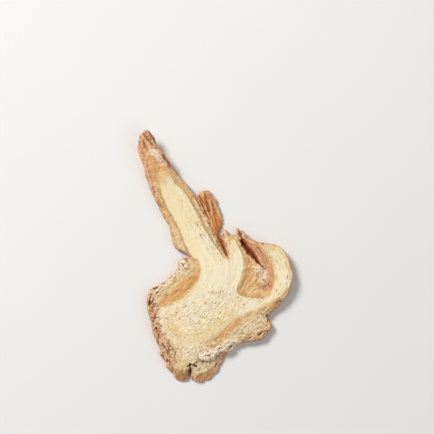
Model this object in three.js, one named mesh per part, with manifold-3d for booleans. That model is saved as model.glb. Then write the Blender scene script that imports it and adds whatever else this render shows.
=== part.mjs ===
import * as THREE from 'three';
import { mergeVertices } from 'three/addons/utils/BufferGeometryUtils.js';
import Module from 'manifold-3d';

// A dried slice of dong quai root, cut lengthwise through the head of the root and lying on a cut face.
// Lengths are in millimetres. Seen from above, X runs to the right and Y runs up beside the long side root.
// Z is up, and the origin is under the middle of the slice, on the surface that it lies on.

// Driving dimensions
const HEAD_THICKNESS = 3.0;
const SIDE_ROOT_THICKNESS = 2.5;
const TIP_THICKNESS = 1.7;
const CORE_PROUD = 0.35;
const SKIN_STEP = 0.3;
const RIM_DROP = 0.5;
const RIM_WIDTH = 1.5;
const LONG_ROOT_LIFT = 5.0;
const LONG_ROOT_START = 6.0;
const LONG_ROOT_REACH = 54.0;
const HOOK_LIFT = 2.2;
const HOOK_EDGE_LIFT = 1.0;
const LEFT_LOBE_LIFT = 1.6;
const BARK_SLOPE = 0.72;
const POCKET_DEPTH = 1.1;
const POCKET_WIDTH = 5.0;
const BARK_RIDGE_HEIGHT = 0.7;
const BARK_RIDGE_WIDTH = 1.5;
const KNOB_HEIGHT = 0.8;
const KNOB_RADIUS = 3.0;
const CORTEX_LUMP = 0.28;
const SKIN_WRINKLE = 0.3;
const RAGGED = 0.22;
const FORK_GAP = 0.3;

// Fineness of the faces
const GRID_STEP = 1.65;
const OUTLINE_STEP = 1.4;
const SHORTEST_EDGE = 0.02;
const SLAB_MARGIN = 4;
const FACE_FLOOR = 0.2;
const CORE_FLOOR = 0.3;
const PRISM_REACH = 30;

// The outline of the slice, counterclockwise from the tip of the long side root
const LONG_ROOT_LEFT = [
  [-26.3, 48.2], [-28.4, 46.5], [-29.7, 43.0], [-29.4, 39.1], [-27.9, 35.7], [-26.9, 31.4], [-25.5, 26.8],
  [-24.0, 23.4], [-21.9, 19.1], [-20.0, 15.1], [-17.7, 11.4], [-16.5, 7.2], [-15.1, 2.9], [-12.1, 1.6],
];
const ARMPIT = [-9.4, -0.7];
const LEFT_SIDE = [
  [-11.7, -0.9], [-14.0, -2.3], [-14.4, -4.6], [-16.3, -7.3], [-19.0, -9.8], [-22.1, -11.7], [-24.6, -13.0],
  [-26.1, -15.9], [-26.3, -19.0], [-25.4, -22.5], [-24.4, -25.9], [-23.8, -29.8], [-22.5, -33.2],
  [-20.9, -35.9], [-21.3, -38.2], [-19.0, -40.8], [-18.6, -43.1],
];
const LOWER_LOBES = [
  [-16.7, -44.6], [-15.1, -47.3], [-12.6, -48.1], [-10.9, -47.1], [-10.2, -43.8], [-9.2, -47.3], [-6.3, -48.2],
  [-2.6, -47.5], [-0.1, -45.0], [1.8, -41.7], [3.5, -38.8], [5.1, -36.5],
];
const RIGHT_SIDE = [
  [7.0, -34.2], [8.9, -33.8], [11.8, -33.1], [15.3, -32.7], [18.2, -31.9], [20.1, -29.2], [21.4, -26.9],
  [20.1, -23.6], [22.2, -20.7], [25.3, -17.8], [27.8, -14.4], [28.9, -10.7], [29.7, -7.8],
];
const HOOK_TOP = [
  [28.7, -4.4], [27.8, -0.9], [25.7, 2.4], [22.8, 3.9], [18.9, 4.7], [14.9, 5.6], [12.2, 7.0], [10.3, 9.5],
];
const SLIT_RIGHT = [[10.5, 6.8], [12.6, 3.9], [15.1, 0.8], [17.0, -2.3]];
const SLIT_END = [19.1, -4.9];
const SLIT_LEFT = [[16.4, -3.2], [14.3, -0.4], [11.8, 1.8], [9.8, 4.9], [9.0, 8.0]];
const STUB_END = [[8.5, 10.5], [7.6, 8.1], [5.4, 7.8], [3.9, 9.7], [2.7, 9.1]];
const NOTCH_RIGHT = [[2.8, 6.8], [3.9, 3.4]];
const NOTCH_END = [4.7, -0.5];
const BARK_EDGE = [
  [2.5, 2.8], [1.2, 6.0], [1.1, 9.1], [2.3, 11.8], [2.0, 15.7], [1.0, 19.3], [-0.5, 22.8], [-2.6, 25.1],
  [-4.6, 25.5], [-6.5, 23.4],
];
const LONG_ROOT_RIGHT = [
  [-9.2, 24.5], [-11.1, 27.2], [-13.4, 29.7], [-15.9, 32.4], [-17.5, 35.7], [-19.6, 38.6], [-21.9, 41.1],
  [-23.4, 44.7], [-24.8, 47.0],
];
const OUTLINE = [
  ...LONG_ROOT_LEFT, ARMPIT, ...LEFT_SIDE, ...LOWER_LOBES, ...RIGHT_SIDE, ...HOOK_TOP, ...SLIT_RIGHT, SLIT_END,
  ...SLIT_LEFT, ...STUB_END, ...NOTCH_RIGHT, NOTCH_END, ...BARK_EDGE, ...LONG_ROOT_RIGHT,
];

// The cream core inside the growth ring. It runs up the long side root and round into the hook.
const CORE = [
  [-20.2, 31.6], [-21.3, 29.1], [-20.9, 25.3], [-19.8, 21.0], [-17.1, 16.0], [-14.0, 10.3], [-11.7, 4.5],
  [-8.6, -0.5], [-5.9, -2.4], [-5.7, -6.3], [-7.4, -11.3], [-11.7, -15.9], [-16.7, -18.6], [-21.3, -20.5],
  [-22.5, -24.8], [-21.3, -29.4], [-19.0, -33.2], [-14.4, -35.9], [-9.0, -35.9], [-4.4, -34.0],
  [-0.5, -30.9], [4.1, -26.7], [9.5, -23.2], [15.7, -20.5], [21.0, -17.5], [24.9, -14.4], [27.6, -10.9],
  [28.2, -7.1], [27.0, -2.6], [24.7, 1.0], [21.8, 2.6], [22.4, -0.9], [23.2, -6.3], [23.0, -11.3],
  [21.0, -14.8], [17.2, -16.3], [12.6, -16.3], [8.3, -14.8], [8.3, -11.7], [10.3, -7.8], [11.0, -4.0],
  [10.1, 0.3], [8.6, 3.6], [7.4, 6.2], [6.2, 5.6], [6.2, 2.2], [4.7, -1.7], [1.8, 1.0], [-1.3, 5.3],
  [-4.8, 11.8], [-7.8, 17.6], [-11.3, 23.4], [-15.1, 27.6],
];

// Where the cut face ends and the bark falls away beside it: along the long side root, and at the lower lobes
const BARK_WALL_TOP = [
  [-9.2, 24.5], [-6.7, 21.0], [-4.4, 16.8], [-2.4, 12.6], [-0.5, 8.0], [1.6, 3.7], NOTCH_END,
];
const NOTCH_MIDDLE = [[4.0, 1.2], [3.2, 3.1], [2.0, 6.4], [1.9, 9.2], [3.3, 11.8]];
const BARK_WALL_REGION = [...BARK_WALL_TOP, ...NOTCH_MIDDLE, [6, 16], [4, 23], [-1, 28], [-7, 27.5]];
const LOBE_TOP = [
  [-19.4, -42.9], [-15.1, -42.5], [-11.3, -43.3], [-8.6, -42.5], [-5.9, -39.4], [-2.8, -40.2],
  [-0.5, -39.4], [1.4, -36.7], [5.6, -36.7],
];
const LOBE_REGION = [...LOBE_TOP, [8, -54], [-24, -54]];

// Middle lines of the hollow beside the slit and of the rolled bark on the slit's right
const POCKET_LINE = [[11.4, -1.6], [13.4, -8.0], [17.0, -11.2], [20.4, -8.0]];
const BARK_RIDGE_LINE = [[11.6, 7.2], [15.9, 3.0], [19.6, -1.8], [21.6, -8.0]];
const KNOB_CENTRE = [-12.1, -3.4];
const TIP_SKIN_START = 41;

// The main forks, where the side roots leave the head
const SLIT_MIDDLE = [[14.8, 0.1], [12.2, 2.8], [10.1, 5.8], [9.7, 8.9]];
const NOTCH_FORK = [4.3, 0.5];
const LONG_ROOT_REGION = [
  [-40, -0.3], [-13.6, -0.1], ARMPIT, NOTCH_FORK, ...NOTCH_MIDDLE, [8, 22], [-4, 56], [-40, 56],
];
const SHORT_ROOT_REGION = [
  NOTCH_FORK, [14.3, -0.4], ...SLIT_MIDDLE, [9.5, 15], [3.3, 14], ...NOTCH_MIDDLE.toReversed(),
];
const HOOK_REGION = [
  SLIT_END, [34, -5.6], [34, 14], [9.5, 15], ...SLIT_MIDDLE.toReversed(), [16.8, -2.8],
];
const LONG_ROOT_AXIS = { fork: [-2.5, -1.2], direction: [-0.436, 0.9] };

const wasm = await Module();
wasm.setup();

const ramp = (low, high, value) => THREE.MathUtils.smoothstep(value, low, high);

// A closed curve through the points, as evenly spaced corners
function smoothOutline(points, ragged) {
  const corners = points.map(([x, y]) => new THREE.Vector3(x, y, 0));
  const curve = new THREE.CatmullRomCurve3(corners, true, 'centripetal');
  const count = Math.round(curve.getLength() / OUTLINE_STEP);
  const spaced = curve.getSpacedPoints(count).slice(0, count);
  return spaced.map((point, i) => {
    const previous = spaced[(i + count - 1) % count];
    const next = spaced[(i + 1) % count];
    const across = new THREE.Vector2(next.y - previous.y, previous.x - next.x).normalize();
    const shift = ragged * Math.sin(2.1 * i) * Math.sin(0.37 * i + 0.8);
    return new THREE.Vector2(point.x + across.x * shift, point.y + across.y * shift);
  });
}

// Distance from a point to a line of corners
function distanceTo(line, x, y, closed = false) {
  let nearest = Infinity;
  const last = closed ? line.length : line.length - 1;
  for (let i = 0; i < last; i++) {
    const [ax, ay] = line[i];
    const [bx, by] = line[(i + 1) % line.length];
    const [dx, dy] = [bx - ax, by - ay];
    const along = THREE.MathUtils.clamp(((x - ax) * dx + (y - ay) * dy) / (dx * dx + dy * dy), 0, 1);
    nearest = Math.min(nearest, Math.hypot(x - ax - along * dx, y - ay - along * dy));
  }
  return nearest;
}

// Whether a closed line of corners goes round a point
function isInside(line, x, y) {
  let inside = false;
  for (let i = 0; i < line.length; i++) {
    const [ax, ay] = line[i];
    const [bx, by] = line[(i + 1) % line.length];
    const crosses = ay > y !== by > y;
    if (crosses && x < ax + (y - ay) / (by - ay) * (bx - ax)) inside = !inside;
  }
  return inside;
}

// Depth of a point inside the outline, less than zero outside it
function depthInside(x, y) {
  return (isInside(OUTLINE, x, y) ? 1 : -1) * distanceTo(OUTLINE, x, y, true);
}

// How far a point lies up the long side root, from the fork
function alongLongRoot(x, y) {
  const { fork, direction } = LONG_ROOT_AXIS;
  return (x - fork[0]) * direction[0] + (y - fork[1]) * direction[1];
}

// How far across the long side root a point lies, for its lengthwise wrinkles
function acrossLongRoot(x, y) {
  const { fork, direction } = LONG_ROOT_AXIS;
  return (x - fork[0]) * direction[1] - (y - fork[1]) * direction[0];
}

// Height of the underside: the head lies flat, and the slice has curled up a little at its ends as it dried
function underside(x, y) {
  const up = Math.max(0, alongLongRoot(x, y) - LONG_ROOT_START) / (LONG_ROOT_REACH - LONG_ROOT_START);
  const hook = Math.min(1, Math.max(0, (y + 6) / 15)) ** 1.5 * ramp(6, 16, x);
  const left = (Math.max(0, -x - 14) / 16) ** 1.6 * (1 - ramp(-6, 4, y));
  const hookEdge = ramp(20, 30, x);
  return LONG_ROOT_LIFT * up ** 1.8 + HOOK_LIFT * hook + HOOK_EDGE_LIFT * hookEdge + LEFT_LOBE_LIFT * left;
}

function thickness(x, y) {
  const along = alongLongRoot(x, y);
  const root = THREE.MathUtils.lerp(HEAD_THICKNESS, SIDE_ROOT_THICKNESS, ramp(0, 36, along));
  return THREE.MathUtils.lerp(root, TIP_THICKNESS, ramp(TIP_SKIN_START, LONG_ROOT_REACH, along));
}

// Height of a face cut straight through the dry root, before the softer tissue shrank
function straightCut(x, y) {
  return underside(x, y) + thickness(x, y);
}

// Height of the cut face outside the core, with its hollow, rolled bark, knob and shrunken lumps
function cutFace(x, y) {
  const hollow = POCKET_DEPTH * (1 - ramp(0.3, 1, distanceTo(POCKET_LINE, x, y) / POCKET_WIDTH));
  const ridge = BARK_RIDGE_HEIGHT * Math.exp(-((distanceTo(BARK_RIDGE_LINE, x, y) / BARK_RIDGE_WIDTH) ** 2));
  const toKnob = Math.hypot(x - KNOB_CENTRE[0], y - KNOB_CENTRE[1]) / KNOB_RADIUS;
  const knob = KNOB_HEIGHT * (1 - ramp(0.2, 1, toKnob));
  const swirl = 0.6 * x - 1.2 * y + 1.5 * Math.sin(0.3 * x);
  const lumps = CORTEX_LUMP * Math.sin(1.1 * x + 0.7 * y) * Math.sin(swirl);
  const onTipSkin = ramp(0, 5, alongLongRoot(x, y) - TIP_SKIN_START);
  const wrinkles = SKIN_WRINKLE * Math.sin(2 * acrossLongRoot(x, y)) * onTipSkin;
  const rim = RIM_DROP * THREE.MathUtils.clamp(1 - depthInside(x, y) / RIM_WIDTH, 0, 1.5);
  return straightCut(x, y) - hollow + ridge + knob + lumps + wrinkles - rim;
}

// How far down a slope of bark a point lies, from 0 at the cut face's edge to 1 at the outline
function downSlope(region, top, x, y) {
  if (!isInside(region, x, y)) return 0;
  const fromTop = distanceTo(top, x, y);
  return Math.min(1.2, fromTop / Math.max(0.2, fromTop + depthInside(x, y)));
}

// Height of the bark, which shows where it slopes away beside the cut face and lies just under it elsewhere
function bark(x, y) {
  const wall = downSlope(BARK_WALL_REGION, BARK_WALL_TOP, x, y);
  const lobes = downSlope(LOBE_REGION, LOBE_TOP, x, y);
  if (wall + lobes === 0) return cutFace(x, y) - SKIN_STEP;
  const furrows = SKIN_WRINKLE * Math.sin(8 * wall) * wall + SKIN_WRINKLE * Math.sin(1.6 * x) * lobes;
  return straightCut(x, y) - BARK_SLOPE * (wall + lobes) * thickness(x, y) + furrows;
}

// The core is cut smooth and has shrunk less than the cortex round it
function core(x, y) {
  return straightCut(x, y) + CORE_PROUD;
}

// A solid from a closed geometry
function solid(geometry) {
  geometry.deleteAttribute('normal');
  geometry.deleteAttribute('uv');
  const merged = mergeVertices(geometry, 1e-4);
  const vertProperties = new Float32Array(merged.attributes.position.array);
  const triVerts = new Uint32Array(merged.index.array);
  return new wasm.Manifold(new wasm.Mesh({ numProp: 3, vertProperties, triVerts, tolerance: SHORTEST_EDGE }));
}

// A slab over the whole slice, between two heights given as functions of x and y
function slab(lower, upper, margin) {
  const { min, max } = new THREE.Box2().setFromPoints(OUTLINE.map(([x, y]) => new THREE.Vector2(x, y)));
  const [width, depth] = [max.x - min.x + 2 * margin, max.y - min.y + 2 * margin];
  const [columns, rows] = [Math.round(width / GRID_STEP), Math.round(depth / GRID_STEP)];
  const geometry = new THREE.BoxGeometry(width, depth, 1, columns, rows, 1);
  const position = geometry.attributes.position;
  for (let i = 0; i < position.count; i++) {
    const [x, y] = [position.getX(i), position.getY(i)];
    position.setZ(i, position.getZ(i) > 0 ? upper(x, y) : lower(x, y));
  }
  return solid(geometry);
}

// An upright prism over a closed line of corners
function prism(corners) {
  const shape = new THREE.Shape(corners);
  const geometry = new THREE.ExtrudeGeometry(shape, { depth: 2 * PRISM_REACH, bevelEnabled: false });
  return solid(geometry.translate(0, 0, -PRISM_REACH));
}

const flatPrism = (points) => prism(points.map(([x, y]) => new THREE.Vector2(x, y)));

const liftedBy = (rise) => (x, y) => underside(x, y) + rise;
const barkLayer = slab(underside, bark, SLAB_MARGIN);
const faceLayer = slab(liftedBy(FACE_FLOOR), cutFace, SLAB_MARGIN - 1)
  .subtract(flatPrism(BARK_WALL_REGION))
  .subtract(flatPrism(LOBE_REGION));
const coreLayer = slab(liftedBy(CORE_FLOOR), core, SLAB_MARGIN - 2).intersect(prism(smoothOutline(CORE, 0)));
const slice = barkLayer.add(faceLayer).add(coreLayer).intersect(prism(smoothOutline(OUTLINE, RAGGED)));

// The slice is parted at its main forks, with a narrow gap left on the head's side of each
const SHIFTS = [[0, 0], [1, 0], [-1, 0], [0, 1], [0, -1]];
let head = slice;
function sideRoot(region) {
  for (const [x, y] of SHIFTS) {
    head = head.subtract(flatPrism(region).translate([x * FORK_GAP, y * FORK_GAP, 0]));
  }
  return slice.intersect(flatPrism(region));
}

function mesh(name, body, colour) {
  const { vertProperties, triVerts } = body.getMesh();
  const geometry = new THREE.BufferGeometry();
  geometry.setAttribute('position', new THREE.BufferAttribute(vertProperties, 3));
  geometry.setIndex(new THREE.BufferAttribute(triVerts, 1));
  geometry.computeVertexNormals();
  const material = new THREE.MeshStandardMaterial({ color: colour, roughness: 0.85, metalness: 0 });
  const piece = new THREE.Mesh(geometry, material);
  piece.name = name;
  return piece;
}

const longRoot = sideRoot(LONG_ROOT_REGION);
const shortRoot = sideRoot(SHORT_ROOT_REGION);
const hook = sideRoot(HOOK_REGION);

const root = new THREE.Group();
root.add(mesh('crown_body', head, '#dcc79a'));
root.add(mesh('long_side_root', longRoot, '#d3b98b'));
root.add(mesh('short_side_root', shortRoot, '#cda777'));
root.add(mesh('hooked_side_root', hook, '#d8bd8c'));

export default root;
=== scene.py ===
"""A dried slice of dong quai root, cut lengthwise through its head, that lies on its lower cut face."""

import math

import bpy
import numpy as np
from mathutils.geometry import delaunay_2d_cdt
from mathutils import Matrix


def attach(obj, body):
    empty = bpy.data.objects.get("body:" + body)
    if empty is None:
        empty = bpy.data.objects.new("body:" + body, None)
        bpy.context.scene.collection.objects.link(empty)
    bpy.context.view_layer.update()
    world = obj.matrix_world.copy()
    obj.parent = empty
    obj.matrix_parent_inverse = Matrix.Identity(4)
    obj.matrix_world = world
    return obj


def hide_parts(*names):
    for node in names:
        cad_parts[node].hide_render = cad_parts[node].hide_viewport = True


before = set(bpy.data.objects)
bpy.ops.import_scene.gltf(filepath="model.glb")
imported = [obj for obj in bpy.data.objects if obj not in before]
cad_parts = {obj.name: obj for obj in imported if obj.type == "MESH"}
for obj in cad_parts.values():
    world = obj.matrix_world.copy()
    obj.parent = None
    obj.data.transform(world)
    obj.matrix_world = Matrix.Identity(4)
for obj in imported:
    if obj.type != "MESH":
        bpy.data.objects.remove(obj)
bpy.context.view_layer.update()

# The outline of the slice
# The head of a root with the tops of its side roots, cut lengthwise. The corners follow its bark in
# millimetres, counterclockwise from the long root's tip, and the rim dried ragged.
MM = 0.001
LONG_ROOT_LEFT = [
    (-26.3, 48.2), (-28.4, 46.5), (-29.7, 43.0), (-29.4, 39.1), (-27.9, 35.7), (-26.9, 31.4), (-25.5, 26.8),
    (-24.0, 23.4), (-21.9, 19.1), (-20.0, 15.1), (-17.7, 11.4), (-16.5, 7.2), (-15.1, 2.9), (-12.1, 1.6),
    (-9.4, -0.7),
]
LEFT_SIDE = [
    (-11.7, -0.9), (-14.0, -2.3), (-14.4, -4.6), (-16.3, -7.3), (-19.0, -9.8), (-22.1, -11.7),
    (-24.6, -13.0),
    (-26.1, -15.9), (-26.3, -19.0), (-25.4, -22.5), (-24.4, -25.9), (-23.8, -29.8), (-22.5, -33.2),
    (-20.9, -35.9), (-21.3, -38.2), (-19.0, -40.8), (-18.6, -43.1),
]
LOWER_LOBES = [
    (-16.7, -44.6), (-15.1, -47.3), (-12.6, -48.1), (-10.9, -47.1), (-10.2, -43.8), (-9.2, -47.3),
    (-6.3, -48.2), (-2.6, -47.5), (-0.1, -45.0), (1.8, -41.7), (3.5, -38.8), (5.1, -36.5),
]
RIGHT_SIDE = [
    (7.0, -34.2), (8.9, -33.8), (11.8, -33.1), (15.3, -32.7), (18.2, -31.9), (20.1, -29.2), (21.4, -26.9),
    (20.1, -23.6), (22.2, -20.7), (25.3, -17.8), (27.8, -14.4), (28.9, -10.7), (29.7, -7.8),
]
HOOK_TOP = [
    (28.7, -4.4), (27.8, -0.9), (25.7, 2.4), (22.8, 3.9), (18.9, 4.7), (14.9, 5.6), (12.2, 7.0),
    (10.3, 9.5),
]
SLIT = [
    (10.4, 6.8), (12.6, 3.9), (15.1, 0.9), (16.7, -1.7), (17.7, -4.1), (15.9, -2.8), (13.9, -0.8),
    (11.5, 1.5), (9.7, 4.8), (9.1, 8.0),
]
STUB = [(8.5, 10.5), (7.6, 8.1), (5.4, 7.8), (3.9, 9.7), (2.7, 9.1)]
NOTCH = [(2.8, 6.8), (3.9, 3.4), (4.7, -0.5)]
BARK_EDGE = [
    (2.5, 2.8), (1.2, 6.0), (1.1, 9.1), (2.3, 11.8), (2.0, 15.7), (1.0, 19.3), (-0.5, 22.8), (-2.6, 25.1),
    (-4.6, 25.5), (-6.5, 23.4),
]
LONG_ROOT_RIGHT = [
    (-9.2, 24.5), (-11.1, 27.2), (-13.4, 29.7), (-15.9, 32.4), (-17.5, 35.7), (-19.6, 38.6), (-21.9, 41.1),
    (-23.4, 44.7), (-24.8, 47.0),
]
OUTLINE = [
    *LONG_ROOT_LEFT, *LEFT_SIDE, *LOWER_LOBES, *RIGHT_SIDE, *HOOK_TOP, *SLIT, *STUB, *NOTCH, *BARK_EDGE,
    *LONG_ROOT_RIGHT,
]
SMOOTH_EDGE = [(28.0, -14.5), (29.6, -8.0), (27.6, -0.5), (24.0, 3.5)]
SMOOTHED = 0.7
TORN_EDGES = ((SLIT[5:], 1.3), (BARK_EDGE[3:], 0.8))
SLIT_MOUTH = (HOOK_TOP[-1], STUB[0])
NOTCH_MOUTH = (STUB[-1], BARK_EDGE[2])
OUTLINE_STEP = 0.8
RIM_STEP = 0.23
RAGGED = 0.2
NICKED = 0.16


def smooth_line(corners, step, closed=False, pieces=32):
    """A centripetal Catmull-Rom curve through the corners, as points about a step apart. Each stretch is a
    cubic whose slopes at its ends are weighted by the square roots of the distances to the corners on
    either side."""
    p = np.array(corners, float)
    p = np.vstack([p[-1:], p, p[:2]]) if closed else np.vstack([2 * p[0] - p[1], p, 2 * p[-1] - p[-2]])
    before, start, end, after = p[:-3], p[1:-2], p[2:-1], p[3:]
    a, b, c = (
        np.sqrt(np.linalg.norm(far - near, axis=1))[:, None]
        for near, far in ((before, start), (start, end), (end, after))
    )
    leaving = b * ((start - before) / a - (end - before) / (a + b)) + end - start
    arriving = b * ((after - end) / c - (after - start) / (b + c)) + end - start
    t = np.linspace(0, 1, pieces, endpoint=False)[None, :, None]
    fine = (
        (2 * t**3 - 3 * t**2 + 1) * start[:, None]
        + (t**3 - 2 * t**2 + t) * leaving[:, None]
        + (3 * t**2 - 2 * t**3) * end[:, None]
        + (t**3 - t**2) * arriving[:, None]
    ).reshape(-1, 2)
    fine = np.vstack([fine, end[-1]])
    along = np.r_[0, np.cumsum(np.linalg.norm(np.diff(fine, axis=0), axis=1))]
    places = np.linspace(0, along[-1], max(2, round(along[-1] / step)) + 1)
    places = places[:-1] if closed else places
    return np.c_[np.interp(places, along, fine[:, 0]), np.interp(places, along, fine[:, 1])]


def distance_to(line, x, y):
    """Distance from each place to a line of corners: the least distance to any of its straight
    stretches."""
    nearest = np.full(np.shape(x), np.inf)
    for (ax, ay), (bx, by) in zip(line[:-1], line[1:]):
        dx, dy = bx - ax, by - ay
        t = np.clip(((x - ax) * dx + (y - ay) * dy) / (dx * dx + dy * dy + 1e-12), 0, 1)
        nearest = np.minimum(nearest, (x - ax - t * dx) ** 2 + (y - ay - t * dy) ** 2)
    return np.sqrt(nearest)


def ramp(low, high, value):
    """A smooth step from 0 at low to 1 at high, which falls where low is above high."""
    t = np.clip((value - low) / (high - low), 0, 1)
    return t * t * (3 - 2 * t)


def between(field, i, j, eased=False):
    """Values of a raster at places between its own: the four values round each place, weighted by nearness
    along both ways, or by a smooth step of the nearness. The raster repeats past its edges."""
    near_row, near_column = np.floor(i).astype(int), np.floor(j).astype(int)
    s, t = i - near_row, j - near_column
    if eased:
        s, t = s * s * (3 - 2 * s), t * t * (3 - 2 * t)
    far_row, far_column = (near_row + 1) % len(field), (near_column + 1) % len(field[0])
    near_row, near_column = near_row % len(field), near_column % len(field[0])
    low = field[near_row, near_column] * (1 - s) + field[far_row, near_column] * s
    high = field[near_row, far_column] * (1 - s) + field[far_row, far_column] * s
    return low * (1 - t) + high * t


def blotches(u, v, size, seed, squares=128):
    """Smooth random values from -1 to 1: random heights on a square lattice with the given spacing, joined
    by a smooth step between the four heights round each place."""
    heights = np.random.default_rng(seed).uniform(-1, 1, (squares, squares))
    return between(heights, u / size, v / size, eased=True)


def layers(u, v, size, seed, count=3, fall=0.55, whole=1.6):
    """Blotches of several sizes, each half the size and a little over half the height of the last, added up
    and divided by about the sum of their heights."""
    return sum(fall**k * blotches(u, v, size / 2**k, seed + k) for k in range(count)) / whole


def outward(loop):
    """The unit normal at each point of a counterclockwise loop: the run of its neighbours, turned to the
    right."""
    run = np.roll(loop, -1, 0) - np.roll(loop, 1, 0)
    run /= np.linalg.norm(run, axis=1)[:, None]
    return np.c_[run[:, 1], -run[:, 0]]


rim = smooth_line(OUTLINE, RIM_STEP, closed=True)
uneven = RAGGED * (blotches(*rim.T, 1.7, 1) + 0.6 * blotches(*rim.T, 0.8, 2))
nicks = NICKED * np.abs(blotches(*rim.T, 0.62, 3)) - NICKED / 2
raggedness = 1 - SMOOTHED * ramp(4, 2, distance_to(SMOOTH_EDGE, *rim.T))
for torn_edge, more in TORN_EDGES:
    raggedness += more * ramp(0.8, 0.3, distance_to(torn_edge, *rim.T))
raggedness *= ramp(0.2, 1.6, distance_to(SLIT_MOUTH, *rim.T))
rim = rim + outward(rim) * (raggedness * (uneven + nicks))[:, None]
rim_outline = smooth_line(OUTLINE, OUTLINE_STEP, closed=True)

# The tissues of the cut face
# A pale core inside the growth ring, a softer cortex round it, and bark where the cut runs out beside the
# long root and at the lobes. A mark is a line, its half width and its strength.
CORE = [
    (-20.2, 31.6), (-21.3, 29.1), (-20.9, 25.3), (-19.8, 21.0), (-17.1, 16.0), (-14.0, 10.3), (-11.7, 4.5),
    (-8.6, -0.5), (-5.9, -2.4), (-5.7, -6.3), (-7.4, -11.3), (-11.7, -15.9), (-16.7, -18.6), (-21.3, -20.5),
    (-22.5, -24.8), (-21.3, -29.4), (-19.0, -33.2), (-14.4, -35.9), (-9.0, -35.9), (-4.4, -34.0),
    (-0.5, -30.9), (4.1, -26.7), (9.5, -23.2), (15.7, -20.5), (21.0, -17.6), (25.0, -15.4), (27.3, -12.2),
    (28.3, -9.8), (28.9, -7.7), (27.8, -4.2), (26.9, -1.2), (25.1, 1.6), (22.5, 3.0), (18.9, 3.7),
    (16.2, 4.5),
    (18.5, 2.3), (20.5, -0.6), (21.8, -4.2), (22.5, -8.2), (22.2, -12.2), (20.6, -14.9), (17.2, -16.3),
    (12.6, -16.1), (8.8, -14.7), (8.3, -12.4), (9.8, -8.4), (10.9, -4.0), (10.3, 0.3), (8.6, 3.6),
    (7.4, 6.2),
    (6.2, 5.6), (6.2, 2.2), (4.7, -1.7), (1.8, 1.0), (-1.3, 5.3), (-4.8, 11.8), (-7.8, 17.6), (-11.3, 23.4),
    (-15.1, 27.6),
]
WALL_TOP = [(-9.2, 24.5), (-6.7, 21.0), (-4.4, 16.8), (-2.4, 12.6), (-0.5, 8.0), (1.6, 3.7), (4.7, -0.5)]
NOTCH_MIDDLE = [(4.0, 1.2), (3.2, 3.1), (2.0, 6.4), (1.9, 9.2), (3.3, 11.8)]
PAST_THE_WALL = [(6, 16), (4, 23), (-1, 28), (-7, 27.5)]
LOBE_TOP = [
    (-19.4, -42.9), (-15.1, -42.5), (-11.3, -43.3), (-8.6, -42.5), (-5.9, -39.4), (-2.8, -40.2),
    (-0.5, -39.4), (1.4, -36.7), (5.6, -36.7),
]
PAST_THE_LOBES = [(8, -54), (-24, -54)]
SLIT_MIDDLE = [(9.5, 9.4), (9.75, 7.4), (10.2, 5.8), (12.1, 2.8), (14.5, 0.2), (16.3, -2.2), (17.4, -3.8)]
POCKET_LINE = [(12.4, -0.8), (13.0, -8.0), (12.4, -12.0), (17.0, -11.8), (20.0, -8.0)]
BARK_RIDGE_LINE = [(11.2, 7.8), (13.9, 5.2), (16.6, 2.2), (18.9, -1.2), (20.5, -5.2), (21.2, -9.0)]
KNOB_CENTRE = (-12.1, -3.4)
KNOB_RADIUS = 3.0
POCKET_WIDTH = 5.0
BARK_RIDGE_WIDTH = 1.5
CORE_STEP = 0.3
TORN_STEP = 0.4
TORN = 0.42
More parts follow.
